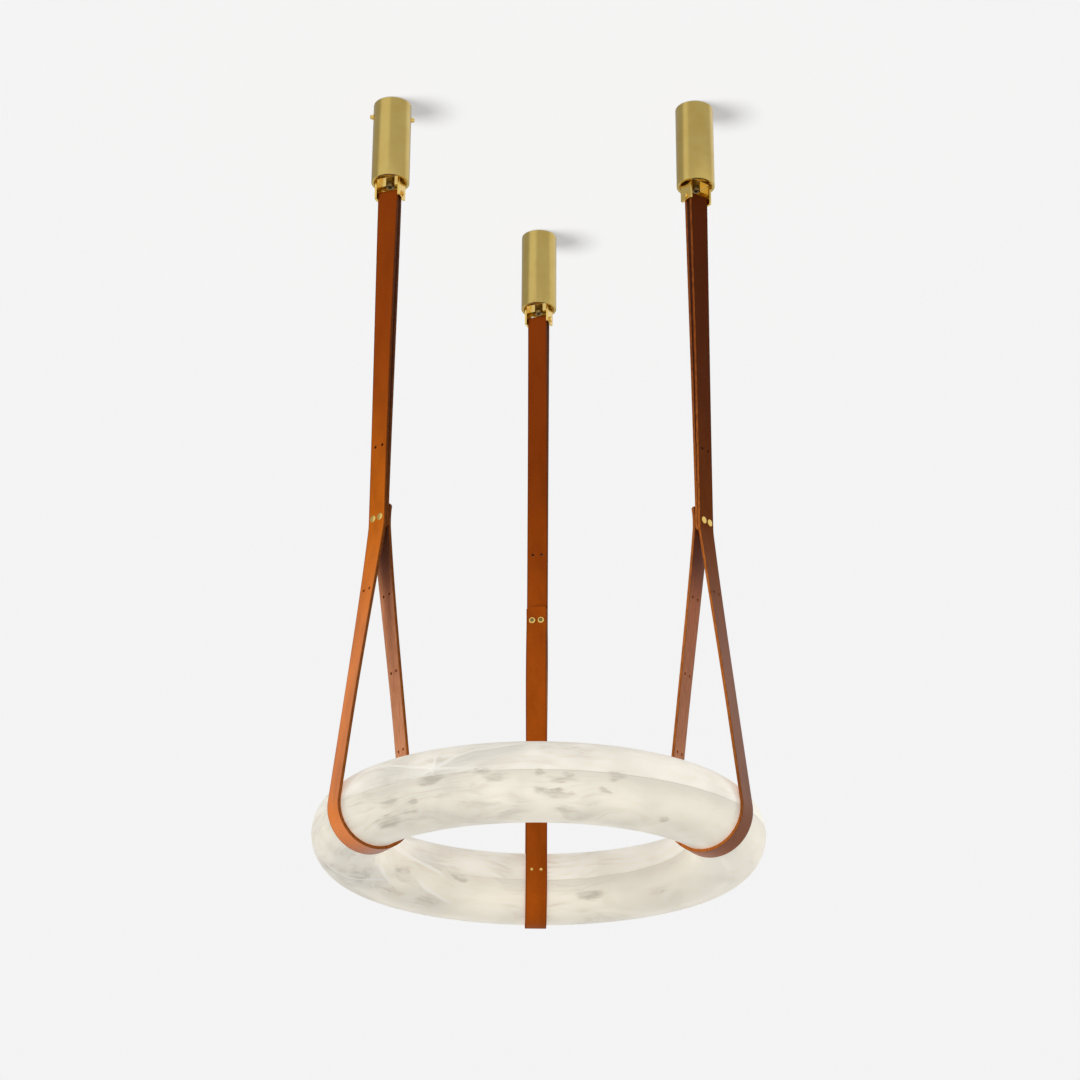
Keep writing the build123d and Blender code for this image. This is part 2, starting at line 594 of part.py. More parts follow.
with BuildPart() as led_carrier:
    with BuildSketch(Plane.XZ):
        with Locations((CENTRE_RADIUS, -RING_DROP)):
            Rectangle(CARRIER_WIDTH, CARRIER_HEIGHT)
    revolve(axis=Axis.Z)
save(led_carrier, "led_carrier")

for label, side in (("led_strip_outer", 1), ("led_strip_inner", -1)):
    strip_seat = CENTRE_RADIUS + side * CARRIER_WIDTH / 2
    with BuildPart() as led_strip:
        with BuildSketch(Plane.XZ):
            with Locations((strip_seat + side * STRIP_THICKNESS / 2, -RING_DROP)):
                Rectangle(STRIP_THICKNESS, STRIP_HEIGHT)
        revolve(axis=Axis.Z)
        chip_radius = strip_seat + side * (STRIP_THICKNESS - CHIP_SEAT + CHIP_RISE / 2)
        with Locations((0, 0, -RING_DROP)):
            with PolarLocations(chip_radius, CHIP_COUNT):
                Box(CHIP_RISE, CHIP_LENGTH, CHIP_HEIGHT)
    save(led_strip, label)

with BuildPart() as carrier_feet:
    foot_reach = sqrt(CAVITY_RADIUS**2 - (FOOT_DIAMETER / 2) ** 2) - FOOT_SEAT
    with BuildSketch(Plane.XY.offset(-RING_DROP - CARRIER_HEIGHT / 2)):
        with PolarLocations(CENTRE_RADIUS, FOOT_COUNT):
            Circle(FOOT_DIAMETER / 2)
    extrude(amount=CARRIER_HEIGHT / 2 - foot_reach)
save(carrier_feet, "carrier_feet")

crown = feed.offset(TUBE_RADIUS - RING_DROP)
make_grommet(crown, FEED_HOLE_DIAMETER, SHELL_WALL, "feed_grommet")
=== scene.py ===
# %% [markdown]
# # A ring pendant in alabaster, leather and brass
# The lamp hangs from three brass canisters. A leather strap is folded over a pin under each
# canister, runs down to a pair of screw rivets, opens into two legs and passes under a hollow
# alabaster ring. The construction comes in as a fixed frame, and this file gives it its looks:
# most visible pieces are worked out again as fine surfaces in the same place, in metres, and the
# rest keep their shape and get a finish.

import json
from math import atan2, cos, degrees, hypot, pi, radians, sin

import bpy
import numpy as np
from mathutils import Matrix, Vector


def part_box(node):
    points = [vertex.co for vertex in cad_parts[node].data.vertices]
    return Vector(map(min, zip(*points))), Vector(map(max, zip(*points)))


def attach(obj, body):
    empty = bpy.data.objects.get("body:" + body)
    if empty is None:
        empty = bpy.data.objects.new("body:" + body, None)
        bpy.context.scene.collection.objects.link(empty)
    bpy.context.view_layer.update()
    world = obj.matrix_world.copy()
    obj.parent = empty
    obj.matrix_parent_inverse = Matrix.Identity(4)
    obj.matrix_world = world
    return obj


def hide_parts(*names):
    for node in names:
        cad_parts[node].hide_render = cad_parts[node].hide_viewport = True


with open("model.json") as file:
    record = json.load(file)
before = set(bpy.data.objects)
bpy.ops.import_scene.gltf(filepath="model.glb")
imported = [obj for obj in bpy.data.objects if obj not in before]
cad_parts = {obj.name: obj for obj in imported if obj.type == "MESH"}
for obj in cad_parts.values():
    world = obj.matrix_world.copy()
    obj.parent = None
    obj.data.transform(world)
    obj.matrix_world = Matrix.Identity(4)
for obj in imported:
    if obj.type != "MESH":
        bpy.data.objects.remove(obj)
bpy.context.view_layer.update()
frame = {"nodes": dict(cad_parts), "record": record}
MM = 0.001

# %% [markdown]
# ## The places that the frame gives
# Every piece is placed by what the frame already holds, so nothing has to be fitted by eye.
# A canister's bearing is that of its bottom plate, the ring's size comes from its upper half, and
# the heights of the pins and rivets come from their own boxes.

# %% Read places and sizes
SIDES = ("left", "right", "rear")


def middle(node):
    """Middle of a node's box: half of its lowest plus its highest corner."""
    low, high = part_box(node)
    return (low + high) / 2


upper_low, upper_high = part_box("ring_upper_shell")
RING_LEVEL = upper_low.z
TUBE_RADIUS = upper_high.z - upper_low.z
RING_RADIUS = upper_high.x - TUBE_RADIUS
JOINT_LEVEL = middle("strap_posts_rear").z
PIN_LEVEL = middle("clevis_pin_rear").z
plates = {side: middle(f"bottom_plate_{side}") for side in SIDES}
HEADING = {side: atan2(plate.y, plate.x) for side, plate in plates.items()}
CLEVIS_TURN = {"left": radians(39), "right": radians(-24), "rear": radians(-21)}
for side in SIDES:
    print(f"{side} canister at {degrees(HEADING[side]):.1f} degrees")
print(f"ring: {RING_RADIUS:.3f} m to the middle of a tube of {TUBE_RADIUS:.3f} m, level {RING_LEVEL:.3f} m")


def station(side, turn=0.0):
    """Axes of one canister as the rows of a matrix: away from the ring's axis, along the ring, up."""
    angle = HEADING[side] + turn
    return np.array([[cos(angle), sin(angle), 0], [-sin(angle), cos(angle), 0], [0, 0, 1]])


def foot(side, level):
    """Point on a canister's own axis at a level."""
    return np.array([RING_RADIUS * cos(HEADING[side]), RING_RADIUS * sin(HEADING[side]), level])


# %% [markdown]
# ## The camera
# The photograph was taken from below and in front, with a long lens and hardly any roll. A camera
# could be aimed with a constraint, but a direction written as yaw, pitch and roll says the same
# with no hidden state: the three camera axes are worked out and put into one matrix.

# %% Camera
CAMERA_PLACE = np.array([-0.0498, -3.3330, -2.0296])
CAMERA_YAW, CAMERA_PITCH, CAMERA_ROLL = 0.0149, 0.4001, 0.0049
CAMERA_LENS = 86.90
SENSOR_WIDTH = 36.0

level_ahead = np.array([sin(CAMERA_YAW), cos(CAMERA_YAW), 0])
ahead = level_ahead * cos(CAMERA_PITCH) + np.array([0, 0, sin(CAMERA_PITCH)])
level_right = np.array([cos(CAMERA_YAW), -sin(CAMERA_YAW), 0])
level_up = np.cross(level_right, ahead)
camera_right = cos(CAMERA_ROLL) * level_right + sin(CAMERA_ROLL) * level_up
camera_up = cos(CAMERA_ROLL) * level_up - sin(CAMERA_ROLL) * level_right

camera_data = bpy.data.cameras.new("camera")
camera_data.lens = CAMERA_LENS
camera_data.sensor_width = SENSOR_WIDTH
camera = bpy.data.objects.new("camera", camera_data)
bpy.context.scene.collection.objects.link(camera)
turn = Matrix(np.column_stack([camera_right, camera_up, -ahead]).tolist())
camera.matrix_world = Matrix.Translation(Vector(CAMERA_PLACE)) @ turn.to_4x4()
bpy.context.scene.camera = camera
bpy.context.scene.view_settings.view_transform = "Standard"
print("camera", CAMERA_LENS, "mm at", CAMERA_PLACE.tolist())

# %% [markdown]
# ## Shader maths as Python
# A finish is a small network of nodes. Wiring it by hand hides the idea, so one class wraps a
# socket: adding or multiplying two of them adds the Math node that does it, and `node` adds any
# other kind. A finish then reads like the formula that it is.


# %% The socket class
class Shade:
    """A socket in a node tree; the operators on it add Math nodes."""

    def __init__(self, tree, socket=None):
        self.tree = tree
        self.socket = socket

    def node(self, kind, settings=None, inputs=None, output=0):
        """Add a node of a kind, with its settings and its sockets' values or links; give one output."""
        made = self.tree.nodes.new(kind)
        for key, value in (settings or {}).items():
            setattr(made, key, value)
        for key, value in (inputs or {}).items():
            if isinstance(value, Shade):
                self.tree.links.new(value.socket, made.inputs[key])
            else:
                made.inputs[key].default_value = value
        return Shade(self.tree, made.outputs[output])

    def math(self, operation, first, second=0.0):
        """One Math node on two values or sockets."""
        return self.node("ShaderNodeMath", {"operation": operation}, {0: first, 1: second})

    def __add__(self, other):
        return self.math("ADD", self, other)

    def __sub__(self, other):
        return self.math("SUBTRACT", self, other)

    def __rsub__(self, other):
        return self.math("SUBTRACT", other, self)

    def __mul__(self, other):
        return self.math("MULTIPLY", self, other)

    def __abs__(self):
        return self.math("ABSOLUTE", self)

    __radd__ = __add__
    __rmul__ = __mul__

    def step(self, low, high):
        """Smooth step: 0 below low, 1 above high."""
        settings = {"interpolation_type": "SMOOTHSTEP"}
        return self.node("ShaderNodeMapRange", settings, {"Value": self, "From Min": low, "From Max": high})

    def mix(self, first, second):
        """Colour mix: the first at 0, the second at 1."""
        inputs = {0: self, 6: first, 7: second}
        return self.node("ShaderNodeMix", {"data_type": "RGBA"}, inputs, 2)

    def most(self, values):
        """The greatest of some values at each point."""
        greatest = values[0]
        for value in values[1:]:
            greatest = self.math("MAXIMUM", greatest, value)
        return greatest

    def stretched(self, where, scale):
        """Coordinates times a scale along each axis."""
        return self.node("ShaderNodeMapping", None, {"Vector": where, "Scale": scale})

    def place(self, scale=(1, 1, 1)):
        """The piece's own coordinates, stretched."""
        return self.stretched(self.node("ShaderNodeTexCoord", output="Object"), scale)

    def part(self, where, axis):
        """One coordinate of a place, by its letter."""
        return self.node("ShaderNodeSeparateXYZ", None, {0: where}, axis)

    def measure(self, operation, first, second=(0, 0, 0)):
        """One Vector Math node that gives a number."""
        return self.node("ShaderNodeVectorMath", {"operation": operation}, {0: first, 1: second}, "Value")

    def noise(self, where, scale, detail=3.0, roughness=0.5, distortion=0.0, output=0):
        """Soft noise from 0 to 1, or as a colour."""
        inputs = {"Vector": where, "Scale": scale, "Detail": detail}
        inputs |= {"Roughness": roughness, "Distortion": distortion}
        return self.node("ShaderNodeTexNoise", None, inputs, output)

    def bump(self, height, distance, strength=1.0):
        """Normal that follows a height."""
        inputs = {"Height": height, "Distance": distance, "Strength": strength}
        return self.node("ShaderNodeBump", None, inputs)


def colour(red, green, blue):
    """A colour with full alpha, in linear light."""
    return (red, green, blue, 1.0)


def new_finish(name, **constants):
    """A material and its Principled shader, with the constant values of its sockets by name."""
    material = bpy.data.materials.new(name)
    material.use_nodes = True
    shader = material.node_tree.nodes["Principled BSDF"]
    for key, value in constants.items():
        shader.inputs[key.replace("_", " ")].default_value = value
    return material, shader


def feed(shader, **links):
    """Link sockets that vary over the surface to a shader's inputs by name."""
    for key, value in links.items():
        value.tree.links.new(value.socket, shader.inputs[key.replace("_", " ")])


def finishes(make, table):
    """One finish for each row of a table: its two tones, then its other numbers."""
    return [make(name, colour(*one), colour(*two), *rest) for name, (one, two, *rest) in table.items()]


print("shader class ready")

# %% [markdown]
# ## Alabaster
# Alabaster is a soft, translucent stone: cream, streaked along its bedding, with grey pebbles in it
# and pale veins across it. The lamp is lit, so the stone glows from within. A photograph wrapped
# round the ring would do, but formulas need no picture and stay sharp. A pebble is the inside of an
# ellipsoid and a vein is where a thin sheet cuts the surface, both in space that noise has pushed
# about, and two short lists say where they lie. The same tones tint the glow, because denser stone
# lets less light out. Just below the joint of the two halves a band of painted shade, in both the
# colour and the glow, stands for the shadow of the light carrier's rim.

# %% Alabaster finish
STONE_CREAM = colour(0.880, 0.823, 0.696)
STONE_PALE = colour(0.870, 0.822, 0.725)
STONE_GREY = colour(0.640, 0.600, 0.512)
STONE_MIST = colour(0.640, 0.618, 0.560)
STONE_PEBBLE = colour(0.465, 0.425, 0.350)
STONE_VEIN = colour(0.915, 0.885, 0.805)
STONE_GLOW = 0.36
# Depth below the joint over which the band of painted shade fades out
SEAM_SHADE = 0.030
VEINED_SIDE = 0.40
RIPPLE_REACH = 0.018
WANDER_REACH = 0.036
# Bearing on the ring and turn round the tube in degrees, half length and half height in mm, depth
PEBBLES = [
    (243, -5, 21, 6, 0.90),
    (256, 2, 14, 5, 0.90),
    (259, -9, 18, 7, 0.80),
    (230, -26, 17, 7, 0.60),
    (237, -33, 11, 6, 0.60),
    (227, -53, 25, 11, 0.75),
    (212, -42, 14, 6, 0.40),
    (235, -45, 23, 4, 0.40),
    (182, -66, 27, 18, 0.40),
    (177, -109, 36, 18, 0.55),
    (153, -155, 28, 11, 0.45),
    (122, -172, 15, 4, 0.65),
    (133, -123, 23, 12, 0.45),
    (150, -118, 30, 13, 0.40),
    (270, -4, 10, 5, 0.90),
    (276, -5, 9, 5, 0.90),
    (275, -14, 19, 5, 0.70),
    (288, -4, 15, 6, 0.70),
    (274, -34, 23, 6, 0.80),
    (269, -30, 10, 5, 0.70),
    (285, -26, 11, 4, 0.60),
    (276, -61, 19, 9, 0.35),
    (303, -56, 10, 5, 0.70),
    (271, 36, 13, 12, 0.35),
    (69, -153, 21, 8, 0.85),
    (38, -141, 29, 8, 0.35),
]
# Two ends of a vein, each as bearing and turn, and how much grey lies beside it
VEINS = [
    ((239, 10), (266, 55), 0.8),
    ((243, 12), (244, 48), 0.6),
    ((221, 36), (251, 10), 0.5),
    ((182, -136), (155, -133), 0.7),
    ((150, 178), (131, -171), -0.8),
    ((143, -148), (123, -130), 0.5),
    ((185, -43), (163, -127), 0.6),
]


def on_ring(bearing, turn):
    """Point on the stone: the tube's circle at a turn, swept round the ring to a bearing."""
    out = RING_RADIUS + TUBE_RADIUS * cos(radians(turn))
    rise = TUBE_RADIUS * sin(radians(turn))
    return np.array([out * cos(radians(bearing)), out * sin(radians(bearing)), RING_LEVEL + rise])


def pushed(shade, where, push, reach):
    """Coordinates pushed about by a coloured noise; its mean moves them by half the reach."""
    inputs = {0: push, 1: (reach,) * 3, 2: where}
    return shade.node("ShaderNodeVectorMath", {"operation": "MULTIPLY_ADD"}, inputs)


def pebble_shade(shade, where, bearing, turn, length, height, depth):
    """Inside of one ellipsoid that lies along the ring: its depth within, 0 outside."""
    inputs = {
        "Vector": where,
        "Location": tuple(on_ring(bearing, turn) + RIPPLE_REACH / 2),
        "Rotation": (0.0, 0.0, radians(bearing)),
        "Scale": (height * MM, length * MM, height * MM),
    }
    local = shade.node("ShaderNodeMapping", {"vector_type": "TEXTURE"}, inputs)
    return (1 - shade.measure("LENGTH", local).step(0.45, 1.20)) * depth


def vein_shades(shade, where, start, end, grey):
    """A sheet through two points, square to the surface: its thin cut, and the grey on one side of it."""
    first, last = on_ring(*start), on_ring(*end)
    centre = (first + last) / 2
    bearing = radians((start[0] + end[0]) / 2)
    core = np.array([RING_RADIUS * cos(bearing), RING_RADIUS * sin(bearing), RING_LEVEL])
    across = np.cross(last - first, centre - core)
    across /= np.linalg.norm(across)
    length = np.linalg.norm(last - first)
    lifted = centre + WANDER_REACH / 2
    off = shade.measure("DOT_PRODUCT", where, tuple(across)) - float(lifted @ across)
    near = 1 - shade.measure("DISTANCE", where, tuple(lifted)).step(0.36 * length, 0.62 * length)
    thin = (1 - abs(off).step(0.0004, 0.0030)) * near
    side = off * (1.0 if grey > 0 else -1.0)
    beside = side.step(0.0, 0.0025) * (1 - side.step(0.006, 0.042)) * near * abs(grey)
    return thin, beside


def alabaster_finish(name, glow):
    """Cream stone darkened by streaks, fields, pebbles and a band of painted shade below the joint, and
    lightened by veins; its tone tints the glow.
    """
    material, shader = new_finish(
        name,
        IOR=1.50,
        Subsurface_Weight=0.12,
        Subsurface_Radius=(0.008, 0.006, 0.005),
        Subsurface_Scale=1.0,
        Emission_Strength=glow,
    )
    shade = Shade(material.node_tree)
    plain = shade.place()
    bedded = shade.place((1.0, 1.0, 2.6))
    sideways = shade.part(plain, "X")
    level = shade.part(plain, "Z")
    swirl = shade.noise(bedded, 9.0, 2.0, output="Color")
    ripple = shade.noise(bedded, 42.0, 3.0, output="Color")
    rippled = pushed(shade, plain, ripple, RIPPLE_REACH)
    wandering = pushed(shade, plain, swirl, WANDER_REACH)
    busy = shade.noise(plain, 5.0, 2.0, 0.5) - sideways * VEINED_SIDE
    clouds = shade.noise(wandering, 15.0, 5.0, 0.6)
    streaks = shade.noise(shade.stretched(wandering, (1.0, 1.0, 11.0)), 19.0, 6.0, 0.66, 0.5)
    speckle = shade.noise(plain, 240.0, 2.0, 0.6)
    pebble = shade.most([pebble_shade(shade, rippled, *entry) for entry in PEBBLES])
    cuts, sides = zip(*[vein_shades(shade, wandering, *entry) for entry in VEINS])
    vein = shade.most(cuts)
    field = shade.most(sides)
    depth = RING_LEVEL - level
    # Painted shade: a band just below the joint, fainter on the left, for the shadow of the light carrier's
    # rim
    below = depth.step(-0.0002, 0.0002) * (1 - depth.step(0.0, SEAM_SHADE))
    joint = 1 - abs(depth).step(0.0004, 0.0012)
    clear_joint = 0.45 + sideways.step(-0.20, 0.05) * 0.55
    tone = depth.step(-0.004, 0.002).mix(STONE_PALE, STONE_CREAM)
    tone = (clouds.step(0.38, 0.68) * (0.30 + busy.step(0.30, 0.56) * 0.35)).mix(tone, STONE_GREY)
    tone = (field * 0.85).mix(tone, STONE_MIST)
    tone = (streaks.step(0.46, 0.66) * (0.24 + busy.step(0.30, 0.54) * 0.56)).mix(tone, STONE_GREY)
    # Painted shade below the joint
    tone = (below * clear_joint * 0.85).mix(tone, STONE_GREY)
    tone = (pebble * (0.45 + streaks.step(0.38, 0.60) * 0.55)).mix(tone, STONE_PEBBLE)
    tone = (joint * clear_joint * 0.20).mix(tone, STONE_PEBBLE)
    tone = (vein * 0.60).mix(tone, STONE_VEIN)
    tone = (speckle.step(0.55, 0.85) * 0.08).mix(tone, STONE_GREY)
    feed(shader, Base_Color=tone, Emission_Color=tone, Roughness=0.30 + clouds * 0.14)
    feed(shader, Normal=shade.bump(clouds * 0.6 + speckle * 0.4, 0.0005, 0.2))
    return material


ALABASTER = alabaster_finish("alabaster", STONE_GLOW)
ALABASTER_INSIDE = alabaster_finish("alabaster_inside", 0.0)
print("alabaster glow", STONE_GLOW, "pebbles", len(PEBBLES), "veins", len(VEINS))

# %% [markdown]
# ## Leather
# The straps are vegetable-tanned saddle leather in cognac: smooth, a little mottled, finely grained
# and darker along the edges, where it is dyed and rubbed. The pattern has to follow the strip round
# its bends, so it reads the strip's own flat coordinates, metres along and across, that are stored
# as a UV map when the strip is cut. Painted light makes the lower legs lighter towards the ring, and
# the hand polishes them; the left strap's tones are painted lighter and the right strap's darker, as
# painted light and shade from the left, so these tones and the polish are given for each strap. The
# back of the leather, the flesh side, is undyed and fibrous, with painted shade up in the fork.

# %% Leather finishes
STRAP_WIDTH = 30 * MM
# Body tone and the lighter tone of painted light towards the ring, and share of the polish; the
# left row is painted lighter and the right row darker, as painted light and shade
STRAP_PAINTED_TONES = {
    "leather_left": ((0.300, 0.053, 0.003), (0.800, 0.203, 0.011), 1.0),
    "leather_right": ((0.215, 0.038, 0.002), (0.540, 0.130, 0.009), 0.6),
    "leather_rear": ((0.285, 0.048, 0.003), (0.600, 0.120, 0.007), 0.0),
}
LEATHER_DARK = colour(0.170, 0.028, 0.002)
LEATHER_RUB = colour(0.090, 0.018, 0.003)
LEATHER_CUT = colour(0.300, 0.075, 0.011)
# Tone of the cut edge where painted light makes it paler
LEATHER_PAINTED_LIT_CUT = colour(0.560, 0.170, 0.030)
FLESH_TAN = colour(0.880, 0.390, 0.185)
FLESH_BROWN = colour(0.660, 0.250, 0.105)
# Levels between which the flesh side takes painted shade up in the fork
FORK_SHADE_LOW, FORK_SHADE_HIGH = JOINT_LEVEL - 0.130, JOINT_LEVEL - 0.045
# Levels between which the strap is painted lighter towards the ring: painted light
PAINTED_LIGHT_LOW, PAINTED_LIGHT_HIGH = RING_LEVEL + 3.4 * TUBE_RADIUS, PIN_LEVEL - 0.18
POLISH_LOW, POLISH_HIGH = PAINTED_LIGHT_LOW, JOINT_LEVEL + 0.04


def flat_place(shade):
    """The strip's flat coordinates as two values: the vector and the metres across."""
    where = shade.node("ShaderNodeUVMap", {"uv_map": "flat"})
    return where, shade.part(where, "Y")


def leather_finish(name, body, painted_lit_tone, polish):
    """Mottled face of a strap: slow drift, painted light, polish, fine grain in the bump and a rubbed edge.
    """
    material, shader = new_finish(name, Specular_IOR_Level=0.05, Coat_Roughness=0.34)
    shade = Shade(material.node_tree)
    where, across = flat_place(shade)
    drift = shade.noise(shade.stretched(where, (0.35, 1.0, 1.0)), 38.0, 4.0, 0.55)
    mottle = shade.noise(where, 320.0, 3.0, 0.6)
    grain = shade.node("ShaderNodeTexVoronoi", {"feature": "F1"}, {"Vector": where, "Scale": 1500.0})
    pores = shade.noise(where, 2600.0, 2.0, 0.5)
    level = shade.part(shade.place(), "Z")
    # Painted light: lighter towards the ring
    tone = (1 - level.step(PAINTED_LIGHT_LOW, PAINTED_LIGHT_HIGH)).mix(body, painted_lit_tone)
    tone = (drift.step(0.36, 0.74) * 0.34).mix(tone, LEATHER_DARK)
    tone = (mottle.step(0.45, 0.85) * 0.26).mix(tone, LEATHER_DARK)
    rubbed = abs(across).step(STRAP_WIDTH * 0.42, STRAP_WIDTH * 0.5)
    tone = (rubbed * 0.60).mix(tone, LEATHER_RUB)
    height = grain * 0.6 + pores * 0.4
    feed(shader, Base_Color=tone, Roughness=0.44 + mottle * 0.14 + drift * 0.06)
    feed(shader, Normal=shade.bump(height, 0.00022, 0.5))
    if polish:
        feed(shader, Coat_Weight=(1 - level.step(POLISH_LOW, POLISH_HIGH)) * polish)
    return material


def leather_edge_finish(name):
    """Cut edge of the strap: dyed, sealed and rubbed smooth, with a few fibres along it; painted light
    makes it paler towards the ring.
    """
    material, shader = new_finish(name, Specular_IOR_Level=0.05)
    shade = Shade(material.node_tree)
    fibres = shade.noise(shade.place((1.0, 1.0, 0.12)), 900.0, 3.0, 0.6)
    level = shade.part(shade.place(), "Z")
    dyed = fibres.step(0.30, 0.62).mix(LEATHER_RUB, LEATHER_CUT)
    painted_lit_cut = fibres.step(0.30, 0.62).mix(LEATHER_CUT, LEATHER_PAINTED_LIT_CUT)
    # Painted light: the edge turns paler towards the ring
    feed(shader, Base_Color=level.step(PAINTED_LIGHT_LOW, PAINTED_LIGHT_HIGH).mix(painted_lit_cut, dyed))
    feed(shader, Roughness=0.36 + fibres * 0.2, Normal=shade.bump(fibres, 0.0002, 0.4))
    return material


def leather_flesh_finish(name):
    """Back of the leather: undyed, waxed and fibrous, streaked along the strap, with painted shade in the
    fork.
    """
    material, shader = new_finish(name, Specular_IOR_Level=0.5)
    shade = Shade(material.node_tree)
    where, across = flat_place(shade)
    streaks = shade.noise(shade.stretched(where, (0.08, 1.0, 1.0)), 420.0, 4.0, 0.65)
    blotch = shade.noise(where, 55.0, 3.0, 0.55)
    nap = shade.noise(where, 1900.0, 3.0, 0.6)
    tone = streaks.step(0.34, 0.68).mix(FLESH_TAN, FLESH_BROWN)
    tone = (blotch.step(0.45, 0.80) * 0.5).mix(tone, FLESH_BROWN)
    level = shade.part(shade.place(), "Z")
    # Painted shade: darker up in the fork, where the outer leg shades the inner one
    tone = (level.step(FORK_SHADE_LOW, FORK_SHADE_HIGH) * 0.75).mix(tone, LEATHER_DARK)
    rubbed = abs(across).step(STRAP_WIDTH * 0.43, STRAP_WIDTH * 0.5)
    tone = (rubbed * 0.5).mix(tone, LEATHER_RUB)
    feed(shader, Base_Color=tone, Roughness=0.50 + nap * 0.2)
    feed(shader, Normal=shade.bump(streaks * 0.5 + nap * 0.5, 0.0004, 0.6))
    return material


LEATHER = dict(zip(SIDES, finishes(leather_finish, STRAP_PAINTED_TONES)))
LEATHER_RIM = leather_edge_finish("leather_edge")
LEATHER_FLESH = leather_flesh_finish("leather_flesh")
print("leather:", ", ".join(made.name for made in (*LEATHER.values(), LEATHER_RIM, LEATHER_FLESH)))

# %% [markdown]
# ## Brass and the hidden metals
# The covers are finely satined, so they mirror the room softly. The small fittings are polished, and
# the bolts and the sockets of the screws get a dark brass that paints the shade of their recesses.
# Real brass is never one colour: handling leaves it a little warmer and duller in patches, and the
# satin shows as fine lines round a turned piece. The zinc-plated steel and the plain aluminium
# inside are made by the same formula, so the metals are rows of one table.

# %% Metal finishes
# Clear and dull tone, roughness, then scale and depth of the fine lines
METALS = {
    "brass": ((0.860, 0.615, 0.185), (0.780, 0.515, 0.130), 0.15, 2200.0, 0.00003),
    "satin_brass": ((0.640, 0.475, 0.150), (0.590, 0.420, 0.118), 0.26, 2200.0, 0.00003),
    # Darker brass that paints the shade of the bolts' recess between the ears and of the screw sockets
    "shaded_brass": ((0.340, 0.235, 0.080), (0.170, 0.112, 0.042), 0.32, 2200.0, 0.00003),
    "zinc_steel": ((0.60, 0.60, 0.58), (0.42, 0.42, 0.42), 0.34, 1400.0, 0.00004),
    "aluminium": ((0.76, 0.76, 0.77), (0.62, 0.62, 0.63), 0.30, 1400.0, 0.00004),
}


def metal_finish(name, clear, dull, roughness, line_scale, line_depth):
    """Metal between two tones, with patches of wear and fine level lines in the bump."""
    material, shader = new_finish(name, Metallic=1.0, Roughness=roughness)
    shade = Shade(material.node_tree)
    wear = shade.noise(shade.place(), 34.0, 4.0, 0.6)
    lines = shade.noise(shade.place((0.02, 0.02, 1.0)), line_scale, 3.0, 0.6)
    tone = wear.step(0.35, 0.75).mix(clear, dull)
    feed(shader, Base_Color=tone, Roughness=roughness * (0.75 + wear * 0.4 + lines * 0.1))
    feed(shader, Normal=shade.bump(lines, line_depth, 0.2))
    return material


BRASS, SATIN_BRASS, SHADED_BRASS, STEEL, ALUMINIUM = finishes(metal_finish, METALS)
print("metals:", ", ".join(METALS))

# %% [markdown]
# ## Plastics and rubber inside
# The driver, terminal block, light strips and rubber bushes only show when a cover is slid down.
# Moulded plastic still has a fine spark-eroded texture and a trace of dust, so one formula gives
# each of them its own colour, grain and gloss.

# %% Moulded finishes
# Body and worn tone, roughness, then scale and depth of the grain
MOULDINGS = {
    "rubber": ((0.020, 0.020, 0.021), (0.045, 0.045, 0.045), 0.65, 1800.0, 0.00008),
    "driver_case": ((0.72, 0.72, 0.71), (0.62, 0.62, 0.60), 0.45, 2400.0, 0.00006),
    "terminal_nylon": ((0.66, 0.65, 0.60), (0.56, 0.55, 0.49), 0.40, 2400.0, 0.00005),
    "light_strip": ((0.80, 0.77, 0.66), (0.72, 0.67, 0.50), 0.35, 900.0, 0.00006),
}


def moulded_finish(name, body, worn, roughness, grain_scale, grain_depth):
    """Moulded surface between two tones: slow blotches in colour and gloss, fine grain in the bump."""
    material, shader = new_finish(name, Roughness=roughness)
    shade = Shade(material.node_tree)
    blotch = shade.noise(shade.place(), 60.0, 3.0, 0.5)
    grain = shade.noise(shade.place(), grain_scale, 2.0, 0.6)
    feed(shader, Base_Color=blotch.step(0.4, 0.8).mix(body, worn))
    feed(shader, Roughness=roughness * (0.85 + blotch * 0.3), Normal=shade.bump(grain, grain_depth, 0.4))
    return material


RUBBER, DRIVER_CASE, NYLON, BOARD = finishes(moulded_finish, MOULDINGS)
print("moulded:", ", ".join(MOULDINGS))

# %% [markdown]
# ## From arrays to pieces
# Each shape below is a grid of points worked out at once by numpy. Three small functions turn such a
# grid into a piece: one lists the four corners of each cell, one makes the mesh and checks by its
# volume that the faces point outwards, and one hooks the piece to its body and to the nodes that it
# stands for.

# %% Grid and piece helpers


def cells(rows, columns, wrap_rows=False, wrap_columns=False):
    """Corner numbers of a grid's cells; a wrapped direction joins its last line to its first."""
    index = np.arange(rows * columns).reshape(rows, columns)
    if wrap_rows:
        index = np.vstack([index, index[:1]])
    if wrap_columns:
        index = np.hstack([index, index[:, :1]])
    corners = (index[:-1, :-1], index[:-1, 1:], index[1:, 1:], index[1:, :-1])
    return np.stack(corners, axis=-1).reshape(-1, 4)


def volume(points, faces):
    """Volume inside a closed shape: a sixth of the sum of a . (b x c) over its triangles."""
    a, b, c = points[faces[:, 0]], points[faces[:, 1]], points[faces[:, 2]]
    total = np.einsum("ij,ij->i", a, np.cross(b, c)).sum()
    if faces.shape[1] == 4:
        d = points[faces[:, 3]]
        total += np.einsum("ij,ij->i", a, np.cross(c, d)).sum()
    return total / 6


